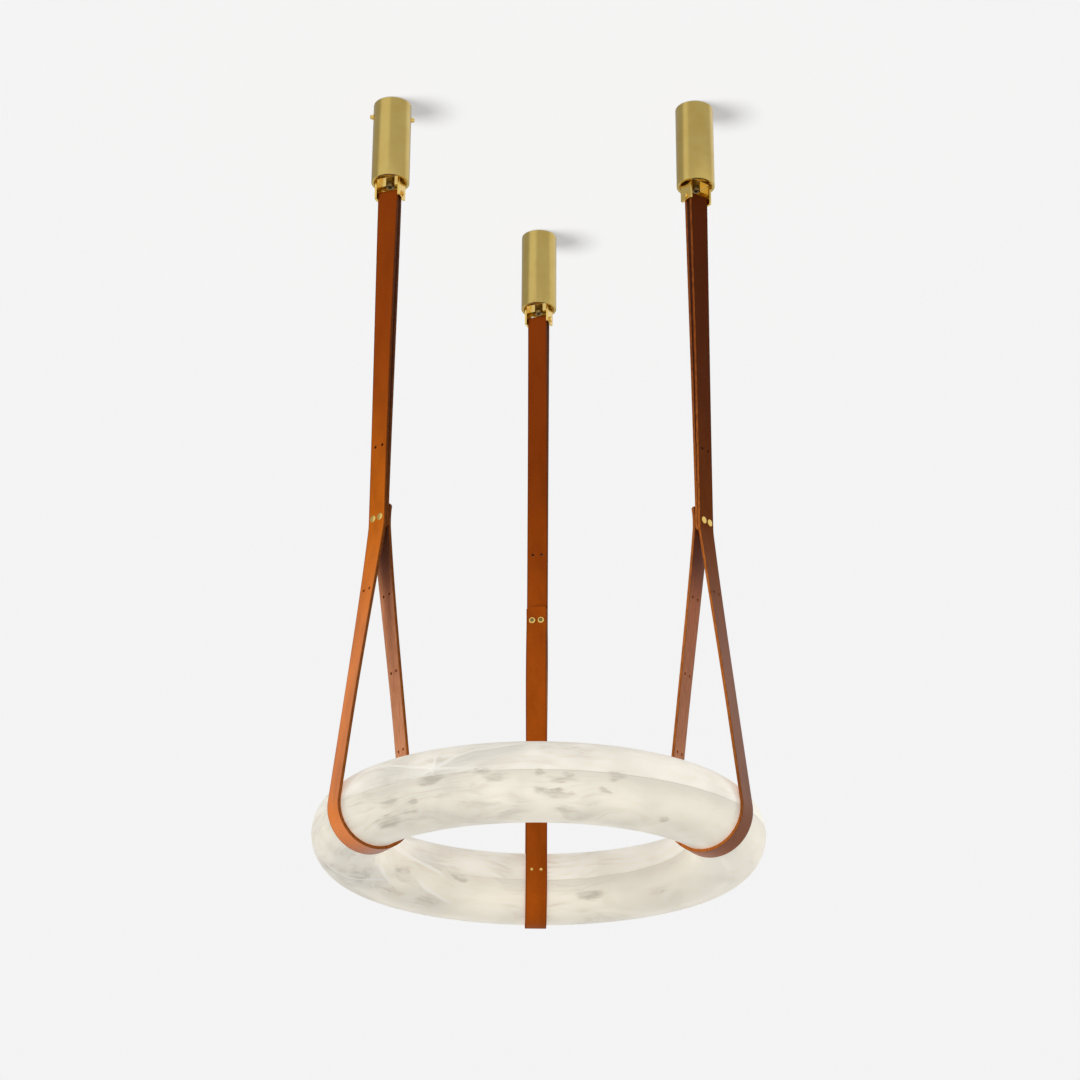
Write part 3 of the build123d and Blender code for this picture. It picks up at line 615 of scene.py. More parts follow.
def piece(name, points, face_groups, materials, smooth_angle=radians(32)):
    """Mesh object from points and groups of faces of one corner count each, faces turned outwards."""
    centred = points - points.mean(axis=0)
    if sum(volume(centred, faces) for faces in face_groups) < 0:
        face_groups = [faces[:, ::-1] for faces in face_groups]
    mesh = bpy.data.meshes.new(name)
    mesh.from_pydata(points.tolist(), [], [face for faces in face_groups for face in faces.tolist()])
    mesh.shade_smooth()
    if smooth_angle:
        mesh.set_sharp_from_angle(angle=smooth_angle)
    for material in materials:
        mesh.materials.append(material)
    made = bpy.data.objects.new(name, mesh)
    bpy.context.scene.collection.objects.link(made)
    return made


def settle(made, body, slot, *nodes):
    """Hook a piece to its body and hide the nodes that it stands for; the slot is not used."""
    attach(made, body)
    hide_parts(*nodes)
    print(f"{made.name}: {len(made.data.vertices)} points, {len(made.data.polygons)} faces")


def rounded(corners, radii, steps=5):
    """Closed outline with each corner replaced by an arc: points at the corner's own radius from the
    arc's middle, which lies on the bisector where both edges are one radius away."""
    corners = np.asarray(corners, float)
    before = np.roll(corners, 1, axis=0) - corners
    after = np.roll(corners, -1, axis=0) - corners
    before /= np.linalg.norm(before, axis=1, keepdims=True)
    after /= np.linalg.norm(after, axis=1, keepdims=True)
    half = np.arccos(np.clip((before * after).sum(axis=1), -1, 1)) / 2
    radii = np.broadcast_to(np.asarray(radii, float), half.shape)[:, None]
    bisector = before + after
    bisector /= np.linalg.norm(bisector, axis=1, keepdims=True)
    centre = corners + bisector * radii / np.sin(half)[:, None]
    start = corners + before * radii / np.tan(half)[:, None] - centre
    end = corners + after * radii / np.tan(half)[:, None] - centre
    sweep = (pi - 2 * half)[:, None, None]
    share = np.linspace(0, 1, steps)[None, :, None]
    from_start = np.sin(sweep * (1 - share)) / np.sin(sweep)
    from_end = np.sin(sweep * share) / np.sin(sweep)
    arcs = centre[:, None] + from_start * start[:, None] + from_end * end[:, None]
    return arcs.reshape(-1, 2)


print("helpers ready")

# %% [markdown]
# ## Turned pieces
# Covers, discs, pins, rivets and the ring itself are all turned on a lathe or ground as if they
# were: one outline of radius and height, carried round an axis. Blender's Spin does the same, but
# with arrays the radius may also change round the circle, which is how a hexagon socket or a screw
# thread comes out of the same formula.

# %% Turning helpers


def around(radius, height, origin, axes, segments):
    """Surface of revolution: (radius cos t, radius sin t, height) in the given axes, t round the circle.
    Radius and height are columns, or grids with one value for each step round the circle."""
    t = np.arange(segments) * 2 * pi / segments
    radius, height, t = np.broadcast_arrays(radius, height, t)
    local = np.stack([radius * np.cos(t), radius * np.sin(t), height], axis=-1)
    return origin + local @ axes


def turned_loop(outline, origin, axes, segments):
    """Points and faces of a closed outline of (radius, height) that stays off the axis."""
    outline = np.asarray(outline, float)
    grid = around(outline[:, :1], outline[:, 1:], origin, axes, segments)
    return grid.reshape(-1, 3), [cells(len(outline), segments, wrap_rows=True, wrap_columns=True)]


def turned_spindle(radius, height, origin, axes, segments):
    """Points and faces of an open outline closed at both ends by a point on the axis."""
    grid = around(radius, height, origin, axes, segments)
    rows = grid.shape[0]
    ends = grid[[0, -1]].mean(axis=1)
    points = np.vstack([grid.reshape(-1, 3), ends])
    quads = cells(rows, segments, wrap_columns=True)
    line = np.arange(segments)
    after = np.roll(line, -1)
    last = (rows - 1) * segments
    first_fan = np.stack([np.full(segments, rows * segments), after, line], axis=1)
    last_fan = np.stack([np.full(segments, rows * segments + 1), last + line, last + after], axis=1)
    return points, [quads, np.vstack([first_fan, last_fan])]


def together(shapes):
    """Several shapes, each points and face groups, as the points and face groups of one piece."""
    starts = np.cumsum([0] + [len(points) for points, groups in shapes[:-1]])
    faces = [[group + start for group in groups] for start, (points, groups) in zip(starts, shapes)]
    return np.vstack([points for points, groups in shapes]), [group for groups in faces for group in groups]


def hexagon(across_flats, segments):
    """Radius of a hexagon round the circle: half its width over the cosine of the angle to its flat."""
    t = np.arange(segments) * 2 * pi / segments
    return across_flats / 2 / np.cos((t + pi / 6) % (pi / 3) - pi / 6)


def rows_of(radii, segments):
    """Radii of an outline's rows, each given as one number or as one for each step round the circle."""
    return np.vstack([np.broadcast_to(radius, segments) for radius in radii])


UPRIGHT = np.eye(3)
print("turning helpers ready")

# %% [markdown]
# ## The alabaster ring
# The ring is a hollow tube bent to a circle and made of two halves, because a carver can only
# hollow it from an open side. A torus primitive would be one closed skin, so each half is turned
# from its own outline instead: the outer arc, a fine bevel where the halves meet, the stepped lip
# that keeps them in line, and the hollow. The upper half has a hole for the feed.

# %% Ring shells
SHELL_WALL = 9 * MM
HOLLOW_RADIUS = TUBE_RADIUS - SHELL_WALL
SEAM_LIP = 4 * MM
SEAM_FIT = 0.2 * MM
SEAM_BEVEL = 0.12 * MM
OUTER_STEPS, HOLLOW_STEPS = 73, 25
RING_SEGMENTS = 288
DRILL_SEGMENTS = 32
FEED_HOLE_RADIUS = 3.5 * MM


def arc(radius, start, end, steps):
    """Points on a circle about the origin from one angle to another."""
    t = np.linspace(start, end, steps)
    return np.column_stack([radius * np.cos(t), radius * np.sin(t)])


def half_ring(sign, step, hollow_rise):
    """Outline of half a tube about the tube's middle, above it for sign 1 and below it for -1: the outer
    arc, the bevel and step of the seam, the hollow's arc and the same step back."""
    bevel = SEAM_BEVEL / TUBE_RADIUS
    outer = arc(TUBE_RADIUS, bevel, pi - bevel, OUTER_STEPS) * [1, sign]
    opening = np.arcsin(hollow_rise / HOLLOW_RADIUS)
    hollow = arc(HOLLOW_RADIUS, pi - opening, opening, HOLLOW_STEPS) * [1, sign]
    seam = np.array([[TUBE_RADIUS - SEAM_BEVEL, 0], *step])
    return np.vstack([outer, seam * [-1, 1], hollow, seam[::-1]])


def drilled(made, origin, axis, radius, length):
    """Cut a round hole through a piece with a Boolean of a turned rod, and keep the result as its mesh."""
    reach = np.array([[-length / 2], [length / 2]])
    across = np.cross(axis, [0.3, 0.5, 0.8])
    across /= np.linalg.norm(across)
    axes = np.array([across, np.cross(axis, across), axis])
    shape = turned_spindle(np.full((2, 1), radius), reach, origin, axes, DRILL_SEGMENTS)
    drill = piece(made.name + "_drill", *shape, [])
    cut = made.modifiers.new("hole", "BOOLEAN")
    cut.object = drill
    cut.solver = "EXACT"
    done = bpy.data.meshes.new_from_object(made.evaluated_get(bpy.context.evaluated_depsgraph_get()))
    done.name = made.name
    made.modifiers.clear()
    made.data = done
    bpy.data.objects.remove(drill)


TUBE_ORIGIN = np.array([0, 0, RING_LEVEL])
LIP_RADIUS = HOLLOW_RADIUS + SHELL_WALL / 2
upper_step = [[LIP_RADIUS + SEAM_FIT, 0], [LIP_RADIUS + SEAM_FIT, SEAM_LIP + SEAM_FIT]]
lower_step = [[LIP_RADIUS, 0], [LIP_RADIUS, SEAM_LIP], [HOLLOW_RADIUS, SEAM_LIP]]
upper_outline = half_ring(1, upper_step, SEAM_LIP + SEAM_FIT)
lower_outline = half_ring(-1, lower_step, 0.0)
for name, outline in (("upper", upper_outline), ("lower", lower_outline)):
    shape = turned_loop(outline + [RING_RADIUS, 0], TUBE_ORIGIN, UPRIGHT, RING_SEGMENTS)
    shell = piece(f"alabaster_{name}_half", *shape, [ALABASTER, ALABASTER_INSIDE])
    inside = np.arange(len(shell.data.polygons)) >= OUTER_STEPS * RING_SEGMENTS
    shell.data.polygons.foreach_set("material_index", inside.astype(np.int32))
    if name == "upper":
        crown = foot("left", RING_LEVEL + TUBE_RADIUS)
        drilled(shell, crown, UPRIGHT[2], FEED_HOLE_RADIUS, 3 * SHELL_WALL)
    settle(shell, "ring", "alabaster", f"ring_{name}_shell")

# %% [markdown]
# ## Strips that are cut flat, punched and bent
# A leather strap and a sheet-brass clevis are made the same way: a strip is cut, holes are punched
# while it is flat, and then it is bent. So the strip is first a flat grid in metres along and
# across. A round hole replaces a square patch of cells by rings of cells that shrink from the
# square to the circle. Only then is the flat pattern carried along its route, and Solidify and
# Bevel give it its thickness and its softened edges.

# %% Strip helpers
PATCH_CELLS = 6
HOLE_RINGS = (0.35, 0.68, 1.0)
BEND_POINTS = 9


def marks(length, step, places, patch):
    """Lines across a strip: evenly spaced, but packed into a patch at each place where a hole is punched."""
    plain = np.linspace(0, length, int(length / step) + 2)
    for place in places:
        plain = plain[np.abs(plain - place) > patch / 2 + step / 4]
    packed = [place + patch * np.linspace(-0.5, 0.5, PATCH_CELLS + 1) for place in places]
    return np.unique(np.round(np.concatenate([plain, *packed]), 7))


def punched(along, across, holes, patch):
    """Flat pattern: grid points of (along, across) and quads, with rings of quads round each hole.
    A ring runs from the patch's square rim to the circle: centre + spoke (1 - share) + radius share."""
    a, w = np.meshgrid(along, across, indexing="ij")
    flat = [np.stack([a, w], axis=-1).reshape(-1, 2)]
    index = np.arange(a.size).reshape(a.shape)
    kept = np.ones((len(along) - 1, len(across) - 1), bool)
    rings = []
    count = a.size
    for place, offset, radius in holes:
        i = np.abs(along - (place - patch / 2)).argmin()
        j = np.abs(across - (offset - patch / 2)).argmin()
        kept[i : i + PATCH_CELLS, j : j + PATCH_CELLS] = False
        block = index[i : i + PATCH_CELLS + 1, j : j + PATCH_CELLS + 1]
        rim = np.concatenate([block[0, :-1], block[:-1, -1], block[-1, :0:-1], block[:0:-1, 0]])
        spokes = flat[0][rim] - (place, offset)
        circle = spokes / np.linalg.norm(spokes, axis=1, keepdims=True) * radius
        for share in HOLE_RINGS:
            flat.append((place, offset) + spokes * (1 - share) + circle * share)
            inner = count + np.arange(len(rim))
            rings.append(np.stack([rim, np.roll(rim, -1), np.roll(inner, -1), inner], axis=1))
            rim = inner
            count += len(rim)
    quads = cells(*a.shape).reshape(len(along) - 1, len(across) - 1, 4)[kept]
    quads = np.vstack([quads, *rings])
    used, quads = np.unique(quads, return_inverse=True)
    return np.vstack(flat)[used], quads.reshape(-1, 4)


def length_along(line):
    """Distance along a line of points: the running sum of its steps."""
    steps = np.linalg.norm(np.diff(line, axis=0), axis=1)
    return np.concatenate([[0], np.cumsum(steps)])


def carried(flat, run, line, sideways):
    """Flat points carried along a line: the line's point at that distance plus across times its side."""
    along, across = flat[:, 0], flat[:, 1]
    centre = np.column_stack([np.interp(along, run, line[:, k]) for k in range(3)])
    side_way = np.column_stack([np.interp(along, run, sideways[:, k]) for k in range(3)])
    return centre + across[:, None] * side_way


def trimmed(flat, length, half, corner):
    """Flat points with the strip's four corners rounded: within one radius of an end, the width shrinks
    by radius minus the root of radius squared minus the distance past the arc's middle squared."""
    from_end = np.minimum(flat[:, 0], length - flat[:, 0])
    past = np.clip(corner - from_end, 0, corner)
    room = half - (corner - np.sqrt(corner**2 - past**2))
    return flat * np.column_stack([np.ones(len(flat)), room / half])


def strip_piece(name, line, sideways, along, holes, materials, width, hem, patch, corner, thickness, bevel):
    """Strip punched flat and bent along a line, with its flat coordinates as a UV map, thickened both ways
    and softened at its edges. Its finishes are one for all, or one each for the outside, the inside and
    the cut edge."""
    run = length_along(line)
    half = width / 2
    offsets = {offset for place, offset, radius in holes}
    packed = [offset + patch * np.linspace(-0.5, 0.5, PATCH_CELLS + 1) for offset in offsets]
    across = np.unique(np.concatenate([[-half, hem - half, 0, half - hem, half], *packed]))
    flat, quads = punched(along, across, holes, patch)
    flat = trimmed(flat, run[-1], half, corner)
    points = carried(flat, run, line, sideways)
    made = piece(name, points, [quads], materials, smooth_angle=None)
    corners = np.zeros(len(made.data.loops), np.int32)
    made.data.loops.foreach_get("vertex_index", corners)
    layer = made.data.uv_layers.new(name="flat")
    layer.data.foreach_set("uv", flat[corners].astype(np.float32).ravel())
    shell = made.modifiers.new("thickness", "SOLIDIFY")
    shell.thickness = thickness
    shell.offset = 0
    shell.material_offset = len(materials) // 2
    shell.material_offset_rim = len(materials) - 1
    edge = made.modifiers.new("edges", "BEVEL")
    edge.width = bevel
    edge.segments = 3
    edge.limit_method = "ANGLE"
    edge.angle_limit = radians(50)
    edge.harden_normals = True
    return made


print("strip helpers ready")

# %% [markdown]
# ## The straps
# Each strap is one strip two metres long. It starts at a hidden end between the rivets, climbs to
# the pin, folds over it, untwists on the way down, passes the rivets, leans out round the ring, goes
# under it, and comes up inside to end above the rivets. The route is a chain of straight runs and
# arcs in the strap's own upright plane, and the twist is a turn of that plane about the canister's
# axis. A curve object with a bevel could draw it, but would roll the strip freely: here the width
# stays level, as it does under load.

# %% Strap route
LAYER_PITCH = 4.4 * MM
STRAP_THICKNESS = 4 * MM
FOLD_RADIUS = 5.1 * MM
WRAP_RADIUS = TUBE_RADIUS + 2.9 * MM
LAP_ABOVE, LAP_BELOW = 22 * MM, 14 * MM
LAP_TURN_SHARE = 0.43
TWIST_LEVEL = JOINT_LEVEL + LAP_ABOVE + 10 * MM
LEG_TWIST_LEVEL = RING_LEVEL + 2 * TUBE_RADIUS
BEND_LEVEL = JOINT_LEVEL - 11 * MM
BEND_RADIUS = 50 * MM
END_CURL = 2.4 * MM
ROUTE_STEP = 1 * MM
FOLD_POINTS, WRAP_POINTS = 25, 140

bend_rise = BEND_LEVEL - RING_LEVEL
LEG_LEAN = np.arcsin(WRAP_RADIUS / hypot(LAYER_PITCH, bend_rise)) - atan2(LAYER_PITCH, bend_rise)
BEND_START = BEND_LEVEL + BEND_RADIUS * np.tan(LEG_LEAN / 2)
BEND_END = BEND_LEVEL - BEND_RADIUS * np.tan(LEG_LEAN / 2) * np.cos(LEG_LEAN)


def strap_turn(side, level):
    """Turn of a strap from its heading at a level: from the clevis's turn to the lap's, then down to none,
    each time by the square of what is left of the way."""
    lap_turn = CLEVIS_TURN[side] * LAP_TURN_SHARE
    from_pin = np.clip((PIN_LEVEL - level) / (PIN_LEVEL - TWIST_LEVEL), 0, 1)
    from_lap = np.clip((BEND_END - level) / (BEND_END - LEG_TWIST_LEVEL), 0, 1)
    return (CLEVIS_TURN[side] - lap_turn) * (1 - from_pin) ** 2 + lap_turn * (1 - from_lap) ** 2


def run_between(start, end):
    """Points on a straight run, about one route step apart, without its last point."""
    count = int(hypot(end[0] - start[0], end[1] - start[1]) / ROUTE_STEP) + 2
    return np.linspace(start, end, count)[:-1]


def leg_route():
    """Outer lower leg in (outwards, up): straight down, an arc that leans it out, straight to the ring."""
    start = (LAYER_PITCH, TWIST_LEVEL)
    bend = arc(BEND_RADIUS, pi, pi + LEG_LEAN, BEND_POINTS) + [LAYER_PITCH + BEND_RADIUS, BEND_START]
    touch = (WRAP_RADIUS * cos(LEG_LEAN), RING_LEVEL + WRAP_RADIUS * sin(LEG_LEAN))
    return np.vstack([run_between(start, bend[0]), bend[:-1], run_between(bend[-1], touch)])


def strap_route(side):
    """Middle line of a strap, its sideways directions, and its rows at the fold and under the ring."""
    tail = run_between((0, JOINT_LEVEL - LAP_BELOW), (0, TWIST_LEVEL))
    climb = run_between((0, TWIST_LEVEL), (-FOLD_RADIUS, PIN_LEVEL))
    fold = arc(FOLD_RADIUS, pi, 0, FOLD_POINTS)[:-1] + [0, PIN_LEVEL]
    descent = run_between((FOLD_RADIUS, PIN_LEVEL), (LAYER_PITCH, TWIST_LEVEL))
    outer = leg_route()
    wrap = arc(WRAP_RADIUS, LEG_LEAN, -pi - LEG_LEAN, WRAP_POINTS) + [0, RING_LEVEL]
    inner = (outer * [-1, 1])[::-1]
    inner = inner[inner[:, 1] <= JOINT_LEVEL + LAP_ABOVE]
    flat_line = np.vstack([tail, climb, fold, descent, outer, wrap, inner])
    last = len(flat_line) - len(inner)
    past_rivets = np.clip((flat_line[last:, 1] - JOINT_LEVEL) / LAP_ABOVE, 0, 1)
    flat_line[last:, 0] -= END_CURL * past_rivets**2
    angle = HEADING[side] + strap_turn(side, flat_line[:, 1])
    outwards = np.column_stack([np.cos(angle), np.sin(angle), np.zeros(len(angle))])
    sideways = np.column_stack([-np.sin(angle), np.cos(angle), np.zeros(len(angle))])
    line = foot(side, 0.0) + outwards * flat_line[:, :1] + flat_line[:, 1:] * [0, 0, 1]
    return line, sideways, len(tail) + len(climb) + len(fold) // 2, last - len(wrap) // 2


# %% Straps
HOLE_SPACING = 13 * MM
HOLE_PAIR = (-HOLE_SPACING / 2, HOLE_SPACING / 2)
HOLE_PITCH = 106 * MM
HOLE_RADIUS = 2 * MM
# Pitches below the rivets at which the inner leg has a spare pair of holes
INNER_HOLES = {"left": (1, 2, 3), "right": (1, 2, 3), "rear": (2, 3)}
RIVET_HOLE_RADIUS = 2.6 * MM
STUD_HOLE_RADIUS = 1.45 * MM
STUD_LEVEL = RING_LEVEL + 14 * MM
STRAP_STEP = 3.4 * MM
STRAP_CUT = {
    "width": STRAP_WIDTH,
    "hem": 2.2 * MM,
    "patch": 8 * MM,
    "corner": 2.5 * MM,
    "thickness": STRAP_THICKNESS,
    "bevel": 0.7 * MM,
}
FOLD_REACH, FOLD_MARGIN, FOLD_STEP = 12 * MM, 1 * MM, 0.9 * MM


def strap_piece(side):
    """One strap: the places of its holes along the route, the lines across it, and the bent strip."""
    line, sideways, top, bottom = strap_route(side)
    run = length_along(line)
    climb, descent, rise = slice(None, top), slice(top, bottom), slice(bottom, None)

    def place_on(rows, pitches, way=1):
        """Distance along the strap to some pitches above the rivets, on rows that climb (1) or fall (-1)."""
        return np.interp(way * (JOINT_LEVEL + pitches * HOLE_PITCH), way * line[rows, 2], run[rows])

    rivets = [place_on(climb, 0), place_on(descent, 0, -1), place_on(rise, 0)]
    spare = [place_on(climb, 1), place_on(descent, 1, -1), place_on(descent, -1, -1)]
    spare += [place_on(rise, -count) for count in INNER_HOLES[side]]
    studs = [np.interp(STUD_LEVEL, line[rise, 2], run[rise])]
    sizes = [(rivets, RIVET_HOLE_RADIUS), (spare, HOLE_RADIUS), (studs, STUD_HOLE_RADIUS)]
    holes = [(place, offset, radius) for places, radius in sizes for place in places for offset in HOLE_PAIR]
    along = marks(run[-1], STRAP_STEP, rivets + spare + studs, STRAP_CUT["patch"])
    along = along[np.abs(along - run[top]) > FOLD_REACH + FOLD_MARGIN]
    finer = np.arange(run[top] - FOLD_REACH, run[top] + FOLD_REACH, FOLD_STEP)
    along = np.unique(np.concatenate([along, finer]))
    print(f"strap of {run[-1]:.3f} m")
    leathers = [LEATHER[side], LEATHER_FLESH, LEATHER_RIM]
    return strip_piece(f"leather_strap_{side}", line, sideways, along, holes, leathers, **STRAP_CUT)


for side in SIDES:
    settle(strap_piece(side), f"strap_{side}", "leather", f"strap_{side}")

# %% [markdown]
# ## The clevises
# Under each canister a strip of brass is bent to a U, its two ears drilled for the pin and its
# middle for the bolt. It is the same job as a strap with other numbers: a short strip, three holes,
# and a route that runs up one ear, round a tight bend, across and down the other ear.

# %% Clevises
EAR_MIDDLE = 17.4 * MM
EAR_TAIL = 6.5 * MM
CLEVIS_BEND = 2.8 * MM
CLEVIS_STEP = 0.8 * MM
CLEVIS_CUT = {
    "width": 22 * MM,
    "hem": 1.6 * MM,
    "patch": 9 * MM,
    "corner": 2 * MM,
    "thickness": 3.2 * MM,
    "bevel": 0.35 * MM,
}
CLEVIS_GAP = 0.15 * MM
PIN_HOLE_RADIUS = 2.55 * MM
BOLT_HOLE_RADIUS = 3.05 * MM
PLATE_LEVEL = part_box("bottom_plate_rear")[0].z
CLEVIS_LEVEL = PLATE_LEVEL - CLEVIS_GAP - CLEVIS_CUT["thickness"] / 2


def clevis_piece(side):
    """Route of the U in (along the pin, up): up an ear, an arc, half the base, and its mirror image."""
    low = (-EAR_MIDDLE, PIN_LEVEL - EAR_TAIL)
    bend = arc(CLEVIS_BEND, pi, pi / 2, BEND_POINTS) + [CLEVIS_BEND - EAR_MIDDLE, CLEVIS_LEVEL - CLEVIS_BEND]
    half_route = np.vstack([run_between(low, bend[0]), bend[:-1], run_between(bend[-1], (0, CLEVIS_LEVEL))])
    middle_point = np.array([[0, CLEVIS_LEVEL]])
    route = np.vstack([half_route, middle_point, (half_route * [-1, 1])[::-1]])
    axes = station(side, CLEVIS_TURN[side])
    line = foot(side, 0.0) + route[:, :1] * axes[1] + route[:, 1:] * axes[2]
    run = length_along(line)
    pin_places = [EAR_TAIL, run[-1] - EAR_TAIL]
    holes = [(place, 0.0, PIN_HOLE_RADIUS) for place in pin_places]
    holes.append((run[-1] / 2, 0.0, BOLT_HOLE_RADIUS))
    along = marks(run[-1], CLEVIS_STEP, pin_places + [run[-1] / 2], CLEVIS_CUT["patch"])
    sideways = np.tile(axes[0], (len(line), 1))
    return strip_piece(f"brass_clevis_{side}", line, sideways, along, holes, [BRASS], **CLEVIS_CUT)


for side in SIDES:
    settle(clevis_piece(side), "ceiling_mount", "brass", f"clevis_{side}")

# %% [markdown]
# ## Canisters
# Each canister is a brass tube whose lower edge is thickened to a narrow lip, with a disc resting
# just above the lip. Both are outlines with slightly rounded corners: on polished metal the fine
# highlight along a rounded edge is what makes it read as metal.

# %% Covers and discs
COVER_RADIUS, COVER_BORE = 27 * MM, 25.5 * MM
LIP_RADIUS_IN, LIP_THICKNESS = 23 * MM, 7 * MM
COVER_LOW, COVER_HIGH = (corner.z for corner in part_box("cover_tube_rear"))
PLATE_RADIUS, PLATE_BORE = 25 * MM, 5.05 * MM
PLATE_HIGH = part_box("bottom_plate_rear")[1].z
COVER_SEGMENTS, DISC_SEGMENTS = 128, 96

cover_corners = [
    (COVER_RADIUS, COVER_LOW),
    (COVER_RADIUS, COVER_HIGH),
    (COVER_BORE, COVER_HIGH),
    (COVER_BORE, COVER_LOW + LIP_THICKNESS),
    (LIP_RADIUS_IN, COVER_LOW + LIP_THICKNESS),
    (LIP_RADIUS_IN, COVER_LOW),
]
cover_outline = rounded(cover_corners, MM * np.array([0.9, 0.4, 0.4, 0.5, 0.5, 0.7]), 6)
plate_corners = [
    (PLATE_RADIUS, PLATE_LEVEL),
    (PLATE_RADIUS, PLATE_HIGH),
    (PLATE_BORE, PLATE_HIGH),
    (PLATE_BORE, PLATE_LEVEL),
]
plate_outline = rounded(plate_corners, 0.4 * MM)
for side in SIDES:
    shape = turned_loop(cover_outline, foot(side, 0.0), UPRIGHT, COVER_SEGMENTS)
    cover = piece(f"brass_cover_{side}", *shape, [SATIN_BRASS])
    settle(cover, f"cover_{side}", "brass", f"cover_tube_{side}")
    shape = turned_loop(plate_outline, foot(side, 0.0), UPRIGHT, DISC_SEGMENTS)
    plate = piece(f"brass_disc_{side}", *shape, [BRASS])
    settle(plate, "ceiling_mount", "brass", f"bottom_plate_{side}")

# %% [markdown]
# ## Bolts and pins
# A socket-head bolt holds the clevis up to the disc, with its head between the ears, and a headed
# pin carries the strap. The bolt's head has a fine knurl: the radius ripples round the circle. Its
# hexagon socket is the same turning formula with a hexagon's radius in place of a constant one.

# %% Bolts
BOLT_SEGMENTS = 144
KNURL_RIDGES, KNURL_SHARE = 36, 0.012
BOLT_HEAD_RADIUS, BOLT_RADIUS = 6 * MM, 3 * MM
BOLT_HEAD_HEIGHT = 11 * MM
SOCKET_WIDTH, SOCKET_DEPTH = 5 * MM, 4 * MM
bolt_low, bolt_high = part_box("clevis_bolt_rear")
HEAD_TOP = bolt_low.z + BOLT_HEAD_HEIGHT
knurl = 1 + KNURL_SHARE * np.cos(KNURL_RIDGES * np.arange(BOLT_SEGMENTS) * 2 * pi / BOLT_SEGMENTS)
hex_socket = hexagon(SOCKET_WIDTH, BOLT_SEGMENTS)
bolt_rows = [
    hex_socket * 0.55,
    hex_socket,
    hex_socket * 1.001,
    hex_socket * 1.10,
    BOLT_HEAD_RADIUS - 0.7 * MM,
    BOLT_HEAD_RADIUS - 0.25 * MM,
    BOLT_HEAD_RADIUS * knurl,
    BOLT_HEAD_RADIUS * knurl,
    BOLT_HEAD_RADIUS - 0.3 * MM,
    BOLT_RADIUS,
    BOLT_RADIUS,
    BOLT_RADIUS * 0.8,
]
bolt_radius = rows_of(bolt_rows, BOLT_SEGMENTS)
bolt_rise = np.array([SOCKET_DEPTH + 0.6 * MM, SOCKET_DEPTH, 0.35 * MM, 0, 0, 0.25 * MM, 0.8 * MM])
bolt_height = np.concatenate([
    bolt_low.z + bolt_rise,
    [HEAD_TOP - 0.4 * MM, HEAD_TOP, HEAD_TOP, bolt_high.z - 0.6 * MM, bolt_high.z],
])
# The bolt gets the dark brass that paints the shade of its recess between the ears
for side in SIDES:
    axes = station(side, CLEVIS_TURN[side])
    shape = turned_spindle(bolt_radius, bolt_height[:, None], foot(side, 0.0), axes, BOLT_SEGMENTS)
    bolt = piece(f"brass_bolt_{side}", *shape, [SHADED_BRASS])
    settle(bolt, "ceiling_mount", "brass", f"clevis_bolt_{side}")

# %% Pins
PIN_RADIUS, PIN_HEAD_RADIUS = 2.5 * MM, 4.5 * MM
EAR_OUTER = 19 * MM
PIN_HEAD_HEIGHT, PIN_TAIL = 2.5 * MM, 3 * MM
GROOVE_RADIUS, GROOVE_WIDTH = 2 * MM, 0.9 * MM
PIN_SEGMENTS = 48
tail_end = -EAR_OUTER - PIN_TAIL
head_end = EAR_OUTER + PIN_HEAD_HEIGHT
pin_outline = np.array([
    (PIN_RADIUS - 0.5 * MM, tail_end),
    (PIN_RADIUS, tail_end + 0.5 * MM),
    (PIN_RADIUS, -EAR_OUTER - GROOVE_WIDTH),
    (GROOVE_RADIUS, -EAR_OUTER - GROOVE_WIDTH),
    (GROOVE_RADIUS, -EAR_OUTER),
    (PIN_RADIUS, -EAR_OUTER),
    (PIN_RADIUS, EAR_OUTER),
    (PIN_HEAD_RADIUS - 0.2 * MM, EAR_OUTER),
    (PIN_HEAD_RADIUS, EAR_OUTER + 0.2 * MM),
    (PIN_HEAD_RADIUS, head_end - 0.9 * MM),
    (PIN_HEAD_RADIUS - 0.25 * MM, head_end - 0.35 * MM),
    (PIN_HEAD_RADIUS - 0.9 * MM, head_end - 0.05 * MM),
    (PIN_HEAD_RADIUS - 2.0 * MM, head_end),
])
for side in SIDES:
    outwards, along_ring, up = station(side, CLEVIS_TURN[side])
    axes = np.array([up, outwards, -along_ring])
    shape = turned_spindle(*np.hsplit(pin_outline, 2), foot(side, PIN_LEVEL), axes, PIN_SEGMENTS)
    pin = piece(f"brass_pin_{side}", *shape, [BRASS])
    settle(pin, "ceiling_mount", "brass", f"clevis_pin_{side}")

# %% [markdown]
# ## Rivets and studs
# Two screw rivets clamp the three layers of each strap. Outside they show a plain dome, inside a
# flat head with a hexagon socket that is painted dark as painted shade, and two little studs sit
# lower down by the ring. A dome is a quarter ellipse turned round its axis.

# %% Rivets
STACK_HALF = LAYER_PITCH + STRAP_THICKNESS / 2
RIVET_RADIUS, RIVET_HEIGHT = 5 * MM, 1.8 * MM
POST_RADIUS = 2.5 * MM
KEY_WIDTH = 5 * MM
RIVET_SEGMENTS, POST_SEGMENTS = 72, 48
SOCKET_ROWS = 3


def turned_pair(name, seats, radius, height, axes, segments, materials):
    """One piece of equal turned spindles, one on each seat."""
    shapes = [turned_spindle(radius, height, seat, axes, segments) for seat in seats]
    return piece(name, *together(shapes), materials)


def dome(radius, base, rim, height, steps=9):
    """Outline of a domed head: a short rim, then radius cos t out and rim + (height - rim) sin t up."""
    t = np.linspace(0, pi / 2 * 0.96, steps)
    bulge = np.column_stack([radius * np.cos(t), base + rim + (height - rim) * np.sin(t)])
    return np.vstack([[radius - 0.15 * MM, base], [radius, base + 0.15 * MM], bulge])


